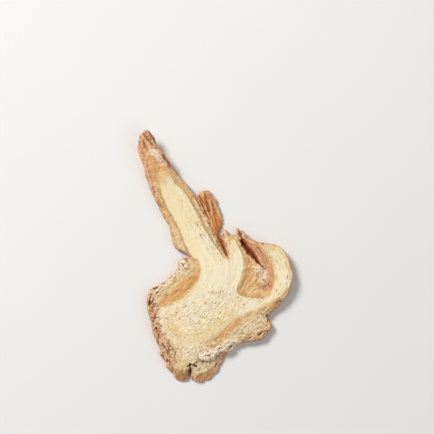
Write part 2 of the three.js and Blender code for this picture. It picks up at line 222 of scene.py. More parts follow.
MARKS = {
    "orange": [
        ([(-8.6, -8.9), (-10.8, -11.2), (-13.6, -13.4), (-16.7, -15.5), (-19.4, -17.6)], 2.0, 1.0),
        ([(-7.4, -5.5), (-7.8, -8.0)], 1.2, 0.4),
        ([(11.8, 6.6), (14.6, 3.8), (17.0, 1.0), (18.9, -2.2), (20.2, -6.0)], 1.2, 0.9),
        ([(4.2, 7.8), (6.6, 7.6), (8.2, 8.8)], 0.8, 0.6),
        ([(-5.0, -35.0), (-2.0, -33.3), (0.5, -32.0)], 1.0, 0.9),
        ([(0.0, -32.2), (2.4, -30.8), (5.2, -28.6), (8.4, -26.0)], 1.8, 1.0),
        ([(8.4, -25.4), (13.0, -22.6), (18.0, -20.2), (22.6, -18.0)], 1.2, 0.42),
        ([(-24.6, 36.4), (-23.4, 33.7), (-22.0, 30.7)], 2.6, 0.9),
        ([(-21.5, 34.5), (-18.6, 32.4)], 1.6, 0.8),
        ([(15.8, 4.9), (19.0, 4.2), (22.4, 3.4)], 1.0, 0.8),
    ],
    "band": [
        ([(-7.4, -1.6), (-6.8, -4.6), (-7.6, -8.0)], 1.6, 0.9),
        ([(-22.4, 29.0), (-22.3, 24.4), (-20.6, 19.4), (-17.5, 14.0), (-16.2, 11.2)], 1.2, 0.5),
        ([(-15.8, 10.2), (-15.1, 8.2), (-12.8, 2.9), (-9.8, -0.5)], 0.9, 0.3),
        ([(-16.7, 31.1), (-12.1, 25.7), (-9.0, 21.3)], 0.9, 0.75),
        ([(-9.4, 22.0), (-6.1, 16.7), (-3.6, 12.0), (-0.9, 6.6), (1.8, 2.4)], 1.0, 0.9),
        ([(6.9, 7.6), (7.8, 6.0), (9.6, 2.6)], 0.9, 0.5),
    ],
    "pink": [
        ([(-26.6, 47.0), (-24.6, 44.4), (-23.2, 41.8)], 1.7, 0.85),
        ([(-28.3, 43.6), (-27.9, 39.9), (-26.9, 36.8)], 2.0, 0.85),
        ([(-20.6, 39.0), (-18.8, 36.3), (-17.1, 33.7)], 1.2, 1.0),
        ([(-27.0, 34.9), (-25.6, 29.9), (-24.0, 25.3), (-21.8, 20.3)], 0.9, 0.75),
        ([(-21.8, 20.3), (-20.0, 16.4), (-17.7, 12.2), (-16.3, 8.0)], 0.8, 0.55),
        ([(-13.4, 29.7), (-11.1, 27.0), (-8.7, 24.0)], 0.6, 0.35),
        ([(-9.6, 23.9), (-7.1, 20.4), (-4.8, 16.2), (-2.7, 12.0), (-0.8, 7.5), (1.4, 3.2)], 0.7, 0.4),
        ([(10.9, 7.8), (13.4, 5.3), (16.0, 2.4), (18.3, -1.0), (19.9, -4.8), (20.6, -8.5), (20.2, -12.0)],
         1.9, 0.85),
        ([(12.6, 6.4), (15.4, 5.4)], 1.0, 0.9),
        ([(2.9, 9.1), (3.3, 6.0), (4.5, 2.2), (5.0, -0.6)], 0.8, 0.8),
        ([(8.7, 9.9), (9.5, 6.0), (11.4, 2.6)], 0.8, 0.9),
        ([(-25.2, -16.0), (-24.9, -20.0), (-23.8, -25.5), (-22.4, -31.0)], 1.6, 0.9),
        ([(-21.6, -31.0), (-19.2, -35.5), (-17.4, -40.0)], 2.8, 0.85),
        ([(20.8, -23.6), (20.4, -28.0), (16.0, -31.6), (10.0, -33.0)], 0.8, 0.45),
        ([(22.5, -18.9), (24.6, -17.0)], 0.9, 0.8),
    ],
    "pale": [
        ([(-23.9, 39.7), (-22.9, 38.7)], 1.25, 1.0),
        ([(-23.0, 38.8), (-21.4, 37.2), (-20.2, 35.2)], 1.2, 0.55),
        ([(16.4, -4.8), (17.8, -6.8), (18.2, -9.0)], 1.7, 0.6),
        # a painted highlight along the slit's left edge
        ([(9.1, 5.0), (11.0, 1.3), (13.5, -1.2), (15.8, -3.9)], 0.35, 0.4),
        ([(-16.4, 11.6), (-15.0, 8.6), (-14.1, 5.8), (-12.6, 2.8)], 0.8, 0.25),
        ([(-5.4, -38.6), (-2.0, -37.4), (1.2, -35.9), (4.5, -34.2), (7.5, -32.6)], 1.5, 1.0),
        ([(-12.0, -37.5), (-8.0, -38.5), (-4.5, -36.8)], 2.4, 0.7),
        ([(-14.8, -5.8), (-18.3, -10.1), (-23.4, -13.6)], 0.9, 0.6),
        ([(-23.0, -14.2), (-24.6, -16.0)], 1.2, 0.4),
        ([(-12.4, -5.0), (-11.0, -6.6)], 1.3, 0.55),
        ([(8.6, -29.4), (13.0, -27.2), (17.8, -25.0)], 2.4, 0.38),
        ([(-8.8, 22.4), (-6.4, 18.2), (-4.2, 13.8), (-2.1, 9.2), (0.2, 4.9)], 0.35, 0.6),
        ([(3.3, 9.0), (3.9, 5.8), (5.0, 2.4), (5.6, 0.0)], 0.55, 0.55),
    ],
    "yellow": [
        ([(-21.0, 27.0), (-19.0, 21.0), (-15.5, 14.5), (-12.0, 7.0)], 1.4, 0.6),
        ([(-19.5, 28.0), (-16.4, 21.0), (-12.0, 11.0), (-7.5, 2.0)], 2.6, 0.5),
        ([(-18.8, 27.0), (-14.6, 21.0), (-10.6, 13.6)], 3.2, 0.55),
        ([(-14.0, 24.6), (-9.4, 16.6), (-5.2, 9.2)], 1.5, 0.45),
        ([(-17.0, -24.0), (-12.0, -31.5), (-4.0, -30.0), (3.0, -24.0)], 4.4, 0.4),
        ([(28.8, -8.8), (28.2, -4.2), (27.0, -0.8), (25.0, 1.8), (22.4, 3.1)], 1.0, 0.8),
        ([(16.6, -25.4), (19.0, -26.0)], 2.0, 0.6),
        ([(-2.0, 2.0), (1.5, -1.6), (5.6, 0.6), (7.2, 4.6)], 1.6, 0.45),
        ([(24.0, 1.5), (25.8, -3.0), (26.2, -8.0), (24.4, -13.5)], 2.4, 0.35),
        ([(-8.3, -12.2), (-13.0, -16.6), (-19.0, -19.8)], 0.9, 0.7),
        ([(-13.0, -33.0), (-5.0, -30.6), (2.0, -25.6), (6.0, -22.6)], 2.4, 0.75),
        ([(-18.4, -27.2), (-16.2, -28.2), (-14.6, -29.8), (-13.4, -31.8)], 2.1, 0.75),
        ([(-16.4, -28.0), (-15.2, -29.0), (-14.0, -31.2)], 1.3, 1.0),
        ([(6.0, -29.5), (12.0, -27.4), (18.5, -23.6)], 2.8, 0.55),
        ([(-12.6, -5.6), (-16.2, -10.6), (-21.0, -15.0)], 1.6, 0.75),
        ([(-21.0, 32.4), (-20.4, 28.6)], 2.2, 0.9),
        ([(-17.0, 32.4), (-14.0, 29.2), (-11.0, 25.6), (-8.4, 22.0)], 1.4, 0.9),
        ([(-23.6, 27.0), (-21.6, 21.6), (-19.0, 16.0), (-16.4, 11.6), (-14.1, 5.8),
          (-12.6, 2.8)], 1.2, 0.6),
        ([(-14.5, -39.0), (-9.0, -40.0)], 2.6, 0.5),
        ([(16.6, 4.6), (19.4, 1.6), (21.2, -1.4), (22.4, -5.0), (23.0, -9.0)], 1.0, 1.0),
        ([(23.4, -11.0), (21.8, -15.2), (17.0, -17.2), (11.0, -17.0)], 0.8, 0.5),
        ([(27.0, -12.0), (22.4, -16.2), (16.0, -19.6)], 1.2, 0.45),
    ],
    # Cracks are sunk in the relief and darkened by painted shade in the finish.
    "crack": [
        ([(-27.4, 46.4), (-26.4, 44.9), (-25.3, 43.9), (-24.2, 42.4)], 0.44, 0.54),
        ([(-25.4, 47.4), (-24.2, 45.2), (-22.9, 43.0)], 0.34, 0.5),
        ([(-20.1, 38.7), (-19.4, 37.4), (-18.1, 35.7), (-17.5, 34.1)], 0.38, 0.6),
        ([(-21.9, 15.9), (-20.7, 14.4), (-19.2, 12.4)], 0.3, 0.6),
        ([(-18.9, 11.8), (-18.2, 9.9)], 0.22, 0.6),
        ([(-17.4, 8.6), (-16.8, 6.2)], 0.22, 0.6),
        ([(-23.4, 20.6), (-22.6, 18.6)], 0.2, 0.5),
        ([(-6.4, -43.4), (-5.8, -44.6)], 0.18, 0.6),
        ([(-3.4, -42.0), (-2.8, -43.4)], 0.18, 0.55),
        ([(0.3, -41.4), (-0.2, -43.0)], 0.22, 0.7),
        ([(-12.7, -44.0), (-12.3, -45.8)], 0.2, 0.5),
        ([(-8.4, 22.9), (-7.0, 21.0), (-5.6, 18.7)], 0.16, 0.7),
        ([(-4.9, 17.3), (-3.7, 14.7)], 0.16, 0.7),
        ([(-3.0, 13.3), (-2.0, 11.1)], 0.16, 0.75),
        ([(-1.3, 9.3), (-0.3, 6.9)], 0.16, 0.7),
        ([(0.4, 5.7), (1.5, 3.7)], 0.16, 0.7),
        ([(3.1, 8.4), (3.5, 6.8)], 0.2, 0.75),
        ([(4.0, 5.2), (4.5, 3.6)], 0.2, 0.7),
        ([(5.0, 1.9), (5.3, 0.7)], 0.18, 0.6),
        ([(-10.7, -42.5), (-9.4, -41.7), (-7.4, -42.5)], 0.36, 0.9),
        ([(-8.6, -42.3), (-7.2, -40.9)], 0.26, 0.8),
        ([(-2.4, -40.0), (-0.4, -39.1), (0.4, -37.8), (1.4, -36.9), (2.2, -36.9)], 0.26, 0.8),
        ([(3.4, -36.6), (4.6, -35.9), (5.4, -36.0)], 0.22, 0.8),
        ([(5.2, -35.4), (6.2, -34.6), (7.6, -34.9), (8.8, -34.2)], 0.26, 0.9),
        ([(19.6, -22.6), (20.2, -23.8), (20.0, -25.4)], 0.26, 0.8),
        ([(16.6, -30.6), (17.8, -29.4), (19.4, -28.8)], 0.24, 0.7),
        ([(12.4, -31.9), (14.0, -31.2)], 0.2, 0.6),
        ([(10.2, -29.6), (11.4, -30.2)], 0.2, 0.5),
        ([(17.6, -22.2), (18.6, -22.8)], 0.2, 0.6),
        ([(-3.8, -38.2), (-2.4, -38.4), (-1.6, -37.6)], 0.2, 0.65),
        ([(0.6, -36.0), (2.0, -35.4), (3.0, -35.6)], 0.2, 0.65),
        ([(3.8, -33.9), (5.0, -33.3)], 0.18, 0.6),
        ([(-6.2, -37.0), (-5.0, -36.6)], 0.18, 0.5),
        ([(-22.9, -27.6), (-21.9, -29.4), (-21.7, -31.2)], 0.22, 0.7),
        ([(-20.4, -33.6), (-19.2, -35.4)], 0.2, 0.6),
        ([(-9.8, -41.7), (-9.6, -44.4), (-10.1, -47.1)], 0.42, 1.0),
        ([(-23.6, -12.9), (-22.3, -12.3)], 0.3, 0.8),
        ([(-24.6, -14.8), (-25.2, -16.8), (-25.2, -18.8)], 0.22, 0.7),
        ([(-23.6, -16.2), (-24.1, -18.0)], 0.2, 0.6),
        ([(-23.9, -20.6), (-23.6, -22.4)], 0.2, 0.5),
        ([(-22.9, -14.8), (-21.9, -13.9)], 0.22, 0.7),
        ([(-12.1, -1.0), (-11.1, -1.6), (-10.5, -2.6)], 0.24, 0.7),
        ([(-13.0, -2.9), (-12.4, -3.5), (-12.2, -4.3)], 0.22, 0.7),
        ([(-14.2, -4.4), (-13.6, -5.3)], 0.2, 0.5),
        ([(-5.7, 8.0), (-5.0, 6.9), (-4.5, 6.1)], 0.18, 0.6),
        ([(17.8, -4.1), (18.3, -4.5), (18.9, -5.3)], 0.24, 0.8),
        ([(18.8, -9.4), (19.7, -11.0)], 0.18, 0.5),
        ([(16.2, -11.2), (17.3, -12.2)], 0.18, 0.45),
        ([(20.3, -10.8), (21.0, -12.4)], 0.18, 0.5),
    ],
    "clean_rim": [([(29.4, -11.0), (29.6, -7.6), (28.2, -2.5), (25.5, 2.6), (22.0, 4.2)], 2.4, 1.0)],
    "pores": [
        ([(-25.2, -15.5), (-25.3, -20.2), (-24.2, -25.5), (-22.0, -30.9), (-19.9, -36.3), (-17.8, -40.9)],
         3.0, 1.0),
        ([(20.0, -22.4), (15.0, -28.0), (9.0, -31.0)], 3.2, 0.75),
        ([(17.4, -5.0), (18.0, -10.0)], 2.4, 0.8),
        ([(-11.0, -2.6), (-13.4, -5.2)], 2.0, 0.7),
        ([(-23.0, 20.8), (-20.8, 15.8), (-18.4, 11.6), (-16.9, 7.0), (-15.6, 3.4)], 1.2, 0.6),
        ([(-26.8, 34.0), (-25.4, 28.6), (-23.6, 23.0)], 0.9, 0.45),
    ],
    "ring": [
        ([(-15.1, 27.6), (-11.3, 23.4), (-8.6, 19.0)], 1.3, 0.5),
        ([(-9.4, 20.4), (-7.8, 17.6), (-4.8, 11.8), (-1.3, 5.3), (1.8, 1.0)], 1.6, 0.85),
        ([(-20.6, 24.0), (-19.0, 19.5), (-17.1, 16.0), (-14.0, 10.3), (-11.7, 4.5),
          (-8.6, -0.5)], 1.6, 0.9),
        ([(8.8, -14.4), (12.6, -16.2), (18.0, -16.2)], 1.4, 0.6),
    ],
    "streaked": [
        ([(-6.0, 12.5), (-4.5, 8.0), (-1.5, 4.0), (1.0, 1.0)], 2.6, 1.0),
        ([(-12.0, 20.0), (-9.0, 14.0)], 2.0, 0.5),
        ([(14.0, -19.0), (20.0, -16.8), (25.0, -12.5)], 1.6, 0.5),
    ],
    "matted": [
        ([(-18.0, -33.5), (-13.0, -37.5), (-6.5, -37.5), (0.0, -34.5)], 4.0, 1.0),
        ([(-15.0, -26.0), (-4.0, -27.0)], 6.0, 0.4),
        ([(-12.6, -4.6), (-15.5, -8.0), (-20.0, -12.0), (-23.0, -14.4)], 1.5, 0.7),
        ([(19.4, -10.2), (15.5, -12.8), (11.0, -14.0)], 2.0, 0.55),
        ([(6.0, -31.5), (12.0, -28.5), (18.0, -24.5)], 3.2, 0.65),
        ([(-18.0, 14.6), (-15.2, 8.6), (-13.4, 3.6)], 1.0, 0.4),
        ([(16.4, -5.2), (17.8, -9.4)], 2.4, 0.7),
    ],
    "olive": [
        ([(-17.0, -43.8), (-14.5, -45.8), (-12.0, -45.0)], 2.4, 1.0),
        ([(-6.5, -46.8), (-3.2, -45.8), (0.2, -43.4)], 1.5, 0.9),
    ],
    "bark_edge": [([(-4.6, 24.9), (-2.4, 24.0), (-0.6, 21.8), (0.6, 18.6), (1.3, 15.4)], 1.0, 0.45)],
    "bark_glow": [
        ([(-0.6, 14.6), (0.6, 12.2), (1.4, 9.6)], 1.3, 0.9),
        ([(1.4, 9.6), (2.6, 5.4)], 1.4, 0.5),
    ],
    "edge_folds": [
        ([(-11.9, -1.6), (-14.4, -4.0), (-16.0, -7.5), (-19.0, -10.2), (-23.5, -13.3),
          (-26.0, -17.0)], 2.4, 1.0),
        ([(-21.8, -36.5), (-18.8, -41.5)], 1.8, 0.6),
        ([(3.5, -38.0), (0.5, -43.5)], 2.0, 0.9),
        ([(-20.6, 16.4), (-17.4, 9.0)], 1.2, 0.5),
        ([(-14.0, 30.0), (-10.0, 25.6), (-7.0, 21.5), (-4.0, 16.0), (-1.0, 9.0), (2.0, 4.0)], 1.1, 0.4),
    ],
    "ticks": [
        ([(2.0, -20.0), (-5.0, -26.0), (-13.0, -27.0)], 7.5, 1.0),
        ([(8.0, -18.0), (4.0, -26.0)], 4.0, 0.9),
        ([(-16.0, -23.0), (-8.0, -24.0)], 5.0, 0.8),
        ([(-6.5, 9.0), (-8.5, 14.0)], 2.5, 0.5),
        ([(23.6, 1.6), (26.0, -3.6), (25.8, -10.0), (22.6, -15.0)], 3.4, 0.65),
    ],
    # The slit mark places painted shade on the bark inside the slit, and faintly in the notch.
    "slit": [(SLIT_MIDDLE[2:], 1.6, 1.0), ([(4.7, -0.5), (3.2, 3.1), (2.0, 6.4), (1.8, 8.4)], 0.9, 0.3)],
}


def is_inside(loop, x, y):
    """Whether each place lies inside a loop: a ray to its right crosses the loop an odd number of times."""
    inside = np.zeros(np.shape(x), bool)
    for (ax, ay), (bx, by) in zip(loop, np.roll(loop, -1, 0)):
        if ay != by:
            inside ^= ((ay > y) != (by > y)) & (x < ax + (y - ay) / (by - ay) * (bx - ax))
    return inside


def depth_inside(loop, x, y):
    """Distance to a loop, above zero inside it and below zero outside it."""
    closed = np.vstack([loop, loop[:1]])
    return np.where(is_inside(loop, x, y), 1, -1) * distance_to(closed, x, y)


def near(lines, x, y, waver, full=0.65, gone=1.3):
    """Share of the strongest of some marks at each place. A mark falls by a smooth step between two shares
    of its half width from its line, where it is still full and where it is gone, and its edge wavers."""
    strongest = np.zeros(np.shape(x))
    for line, half_width, strength in lines:
        way = distance_to(line, x, y) + waver * half_width
        strongest = np.maximum(strongest, strength * ramp(gone * half_width, full * half_width, way))
    return strongest


def torn_line(corners, seed):
    """A smooth line through the corners, with every point moved by smooth random values."""
    line = smooth_line(corners, TORN_STEP)
    return line + TORN * np.c_[blotches(*line.T, 1.1, seed), blotches(*line.T, 0.9, seed + 1)]


core_ring = smooth_line(CORE, CORE_STEP, closed=True)
ring_waver = 0.16 * blotches(*core_ring.T, 0.9, 4) + 0.2 * blotches(*core_ring.T, 3, 5)
core_ring += outward(core_ring) * ring_waver[:, None]
core_outline = core_ring[::2]
torn_wall, torn_lobes = torn_line(WALL_TOP, 6), torn_line(LOBE_TOP, 8)
wall_region = [*torn_wall, *NOTCH_MIDDLE, *PAST_THE_WALL]
lobe_region = [*torn_lobes, *PAST_THE_LOBES]

# The run of the fibres
# The fibres come down the side roots and sweep to the lower left through the head, as they grew. Each
# stroke follows them, and the grain is a pair of coordinates, along them and across.
FIBRE_STROKES = [
    [(-26.3, 40.7), (-24.4, 29.1), (-20.2, 17.6), (-15.1, 6.0), (-9.8, -0.9)],
    [(-25.2, 44.5), (-19.4, 31.1), (-11.7, 17.6), (-4.0, 4.1), (-0.9, -3.6)],
    [(-15.5, 32.2), (-6.7, 21.4), (-1.3, 10.6), (4.1, -0.1)],
    [(-4.4, 24.5), (-1.3, 16.8), (1.4, 8.3), (4.1, 0.6)],
    [(-0.9, -3.6), (-1.3, -11.3), (-4.8, -21.7), (-10.5, -30.5), (-17.5, -37.1)],
    [(-7.8, -0.9), (-6.3, -5.5), (-7.8, -9.4), (-11.3, -12.5), (-16.7, -15.5), (-22.8, -18.2)],
    [(-13.6, -2.4), (-16.7, -8.2), (-21.3, -12.1), (-24.8, -14.4)],
    [(-4.0, -7.4), (-7.1, -15.1), (-13.6, -22.8), (-21.3, -28.6), (-22.8, -33.2)],
    [(6.4, 2.9), (6.8, -3.6), (5.6, -13.2), (2.2, -21.7), (-3.2, -29.4), (-9.8, -35.2)],
    [(22.5, 3.2), (25.3, -2.4), (27.2, -9.4), (24.5, -14.4), (18.0, -18.2), (9.5, -22.1), (2.6, -27.1),
     (-4.4, -32.9)],
    [(28.7, -11.3), (23.0, -18.6), (14.1, -24.0), (6.4, -30.2), (-1.3, -35.6)],
    [(4.9, 7.6), (6.0, 2.2), (6.4, -2.4)],
    [(21.8, -21.7), (15.3, -27.9), (8.0, -32.5)],
    [(0.3, -37.1), (-1.3, -42.5), (-4.0, -47.5)],
    [(-12.8, -39.4), (-14.0, -44.0), (-14.4, -47.1)],
    [(-25.2, -15.1), (-25.2, -22.8), (-23.2, -31.7), (-20.2, -39.4)],
    [(18.0, -4.8), (14.1, -8.6), (9.5, -13.2)],
    [(20.0, -7.6), (18.4, -10.6), (14.6, -12.9), (9.6, -14.6)],
    [(21.2, -11.4), (19.2, -13.8), (15.4, -15.2)],
    [(20.4, -5.0), (21.0, -10.0)],
    [(17.0, -3.6), (13.0, -4.6), (10.6, -9.0)],
    [(10.6, 4.5), (11.8, -0.9), (10.6, -7.1), (9.1, -11.7)],
    [(11.6, 7.2), (15.9, 3.0), (19.6, -1.8), (21.8, -8.0), (21.6, -13.0)],
]
GRAIN_REACH = (36, 54)
GRAIN_STEP = 0.5
STROKE_STEP = 1.5
grain_x, grain_y = (np.arange(-reach, reach, GRAIN_STEP) for reach in GRAIN_REACH)


def fibre_run():
    """The unit run of the fibres on a square raster: the strokes' runs, weighted by the inverse fourth
    power of the distance to them."""
    x, y = np.meshgrid(grain_x, grain_y)
    pull = np.zeros((2, *x.shape))
    for stroke in FIBRE_STROKES:
        line = smooth_line(stroke, STROKE_STEP)
        run = np.diff(line, axis=0)
        for place, way in zip((line[1:] + line[:-1]) / 2, run / np.linalg.norm(run, axis=1)[:, None]):
            weight = 1 / ((x - place[0]) ** 2 + (y - place[1]) ** 2 + 0.5) ** 2
            pull += weight * way[:, None, None]
    return pull / np.linalg.norm(pull, axis=0)


def coordinate_along(run_x, run_y):
    """The field whose slope fits a run best in the least-squares sense: Poisson's equation, solved by
    Fourier series on the raster and its mirror images."""
    rows, columns = run_x.shape
    run_x = np.hstack([run_x, -run_x[:, ::-1]])
    run_x = np.vstack([run_x, run_x[::-1]])
    run_y = np.hstack([run_y, run_y[:, ::-1]])
    run_y = np.vstack([run_y, -run_y[::-1]])
    kx = 2 * np.pi * np.fft.fftfreq(2 * columns, GRAIN_STEP)[None, :]
    ky = 2 * np.pi * np.fft.fftfreq(2 * rows, GRAIN_STEP)[:, None]
    square = kx**2 + ky**2
    square[0, 0] = 1
    field = np.fft.ifft2(-1j * (kx * np.fft.fft2(run_x) + ky * np.fft.fft2(run_y)) / square).real
    return field[:rows, :columns]


def sample(field, x, y):
    """Values of the fibres' raster at places in millimetres."""
    return between(field.T, (x - grain_x[0]) / GRAIN_STEP, (y - grain_y[0]) / GRAIN_STEP)


run_x, run_y = fibre_run()
along_fibres, across_fibres = coordinate_along(run_x, run_y), coordinate_along(-run_y, run_x)

# How the tissues shrank as they dried
# The soft cortex has wrinkled along its fibres and torn open into pores, and the rim has folded. These
# values shape the upper face, and stay at every vertex for the finishes.
TIP_SKIN_START = 41.0
FORK = (-2.5, -1.2)
LONG_ROOT_RUN = (-0.436, 0.9)
PORE_SIZE = 0.95
PORE_STRETCH = 1.25
FOLD_SPACING = 0.95
CURL_SPACING = 1.5
MERGING = 5.0
MERGE_LOW, MERGE_HIGH = -31.0, -22.0
MERGE_TILT = 0.3
WAVER = 0.5
APEX_MERGING = 3.5
APEX_START, APEX_END = 26.5, 31.0


def creases(u, v, size, seed, width=0.13):
    """Depth from 0 to 1 of wrinkles, deepest along the lines where smooth random values change sign."""
    return 1 - np.clip(np.abs(layers(u, v, size, seed, 2)) / width, 0, 1)


def cells(u, v, size, seed, squares=64):
    """Cells round scattered points, one in each square of a lattice: how much farther the second nearest
    point is than the nearest, in cell sizes, and a random value from 0 to 1 that belongs to the nearest."""
    spots = np.random.default_rng(seed).uniform(0, 1, (squares, squares, 3))
    i, j = np.floor(u / size).astype(int), np.floor(v / size).astype(int)
    ways, values = [], []
    for di in (-1, 0, 1):
        for dj in (-1, 0, 1):
            spot = spots[(i + di) % squares, (j + dj) % squares]
            ways.append(np.hypot(u / size - i - di - spot[..., 0], v / size - j - dj - spot[..., 1]))
            values.append(spot[..., 2])
    order = np.argsort(ways, axis=0)[:2]
    nearest, second = np.take_along_axis(np.array(ways), order, 0)
    return second - nearest, np.take_along_axis(np.array(values), order[:1], 0)[0]


def up_long_root(x, y):
    """How far a place lies up the long side root from the fork."""
    return (x - FORK[0]) * LONG_ROOT_RUN[0] + (y - FORK[1]) * LONG_ROOT_RUN[1]


def tissues(x, y):
    """The shares and depths of the marks at each place, by name, from the lines in MARKS and the
    wrinkles."""
    waver = WAVER * layers(x, y, 1.7, 70)
    t = {name: near(lines, x, y, waver) for name, lines in MARKS.items()}
    t["rim_depth"] = depth_inside(rim_outline, x, y)
    t["core_depth"] = depth_inside(core_outline, x, y)
    u, v = sample(along_fibres, x, y), sample(across_fibres, x, y)
    t["along"], t["across"] = u, v
    merging = MERGING * ramp(MERGE_HIGH, MERGE_LOW, y - MERGE_TILT * x)
    merging += APEX_MERGING * ramp(APEX_START, APEX_END, y)
    t["core_edge"] = t["core_depth"] / (1 + merging) + 1.2 * t["clean_rim"]
    t["soft"] = soft = ramp(0.15, -0.3, t["core_edge"])
    t["wall_way"] = np.where(is_inside(wall_region, x, y), distance_to(torn_wall, x, y), 0)
    t["lobe_way"] = np.where(is_inside(lobe_region, x, y), distance_to(torn_lobes, x, y), 0)
    t["wall"] = ramp(0, 0.3, t["wall_way"])
    t["lobe"] = ramp(0, 1, t["lobe_way"] / (0.3 + 2.4 * ramp(-8, -12, x)))
    # the gap under the fringe: sunk in the relief, and darkened by painted shade in the finish
    t["gap"] = ramp(0, 0.2, t["lobe_way"]) * ramp(1.5, 0.4, t["lobe_way"] + waver) * ramp(-8, -5, x)
    t["pocket"] = ramp(1.15, 0.75, distance_to(POCKET_LINE, x, y) / POCKET_WIDTH + 0.1 * waver) * soft
    t["roll"] = np.exp(-((distance_to(BARK_RIDGE_LINE, x, y) / BARK_RIDGE_WIDTH) ** 2)) * soft
    t["band"] = t["band"] * soft
    t["orange"] = t["orange"] * np.maximum(soft, 0.6 * ramp(0.9, 0.2, t["core_depth"]))

    knob_way = np.hypot(x - KNOB_CENTRE[0], y - KNOB_CENTRE[1])
    t["knob"] = ramp(KNOB_RADIUS, 0.2 * KNOB_RADIUS, knob_way)
    curl = np.sin(2 * np.pi * (knob_way / CURL_SPACING + 1.1 * layers(x, y, 2.6, 76)))
    t["curl"] = curl * ramp(1.15 * KNOB_RADIUS, 0.8 * KNOB_RADIUS, knob_way)
    folds = np.sin(2 * np.pi * (t["rim_depth"] / FOLD_SPACING + 1.6 * layers(x, y, 2.8, 74)))
    broken = ramp(-0.45, 0.25, layers(x, y, 1.5, 75))
    t["folds"] = folds * broken * t["edge_folds"] * (1 - t["knob"])

    edge, own = cells(u / PORE_STRETCH + 0.6 * waver, v - 0.6 * waver, PORE_SIZE, 77)
    t["pit"] = t["pores"] * ramp(0.05, 0.35, edge) * ramp(0.3, 0.7, own)
    t["pore_wall"] = t["pores"] * ramp(0.24, 0.06, edge) * broken
    on_tip = ramp(-2, 3, up_long_root(x, y) - TIP_SKIN_START)
    shrunk = soft * np.clip(0.45 + 0.6 * t["pink"] + 0.6 * t["wall"] + 0.3 * t["lobe"] + 0.1 * on_tip, 0, 1)
    shrunk *= 1 - 0.7 * t["orange"] * ramp(20, 28, y)
    shrunk = np.maximum(shrunk, 0.12 * ramp(-18, -30, y))
    long_creases, short_creases = creases(u / 3.2, v, 1.7, 80), creases(u / 2.4, v, 0.85, 84)
    t["crease"] = shrunk * np.clip(0.75 * long_creases + 0.5 * short_creases, 0, 1)
    return t


# The shape of the slice
# The head lies flat, and the ends have curled up, most of all the long root's tip. The cortex has shrunk
# below the core, with a hollow beside the slit and a roll of bark on its right.
HEAD_THICKNESS = 3.0
SIDE_ROOT_THICKNESS = 2.5
TIP_THICKNESS = 1.7
THINNED_AT = 36.0
CORE_PROUD = 0.35
RIM_DROP = 0.5
RIM_WIDTH = 1.5
RIM_CURL = 0.35
GROOVE_DEPTH = 0.16
GROOVE_WIDTH = 0.24
LONG_ROOT_LIFT = 5.0
LONG_ROOT_START = 6.0
LONG_ROOT_REACH = 54.0
HOOK_LIFT = 2.2
HOOK_START, HOOK_REACH = -6.0, 9.0
HOOK_SIDE = (6, 16)
HOOK_EDGE_LIFT = 1.0
HOOK_EDGE = (20, 30)
LEFT_LOBE_LIFT = 1.6
LEFT_LOBE_START, LEFT_LOBE_REACH = -14.0, -30.0
LEFT_LOBE_TOP = (4, -6)
LONG_ROOT_CURVE, HOOK_CURVE, LEFT_LOBE_CURVE = 1.8, 1.5, 1.6
BARK_SLOPE = 0.72
POCKET_DEPTH = 0.6
BARK_RIDGE_HEIGHT = 0.7
KNOB_HEIGHT = 0.8
CREASE_DEPTH = 0.34
PIT_DEPTH = 0.3
PORE_WALL_HEIGHT = 0.1
FOLD_HEIGHT = 0.15
CRACK_DEPTH = 0.8
GAP_DEPTH = 0.5
LUMP_HEIGHT = 0.24
GRIT_HEIGHT = 0.13
LOWER_PITS = 0.1
FURROW = 0.28
FURROW_SPACING = 1.15
FRINGE_STEP = 0.65


def underside(x, y):
    """Height of the lower face: zero under the head, and rising by powers of the distance towards the tip
    of the long root, the hook and the left lobe."""
    up = np.maximum(0, up_long_root(x, y) - LONG_ROOT_START) / (LONG_ROOT_REACH - LONG_ROOT_START)
    hook = np.clip((y - HOOK_START) / (HOOK_REACH - HOOK_START), 0, 1)
    left = np.maximum(0, LEFT_LOBE_START - x) / (LEFT_LOBE_START - LEFT_LOBE_REACH)
    return (
        LONG_ROOT_LIFT * up**LONG_ROOT_CURVE
        + HOOK_LIFT * hook**HOOK_CURVE * ramp(*HOOK_SIDE, x)
        + HOOK_EDGE_LIFT * ramp(*HOOK_EDGE, x)
        + LEFT_LOBE_LIFT * left**LEFT_LOBE_CURVE * ramp(*LEFT_LOBE_TOP, y)
    )


def thickness(x, y):
    """Thickness of the cut slice: even over the head, thinner up the long root and thinnest at its tip."""
    up = up_long_root(x, y)
    root = HEAD_THICKNESS + (SIDE_ROOT_THICKNESS - HEAD_THICKNESS) * ramp(0, THINNED_AT, up)
    return root + (TIP_THICKNESS - root) * ramp(TIP_SKIN_START, LONG_ROOT_REACH, up)


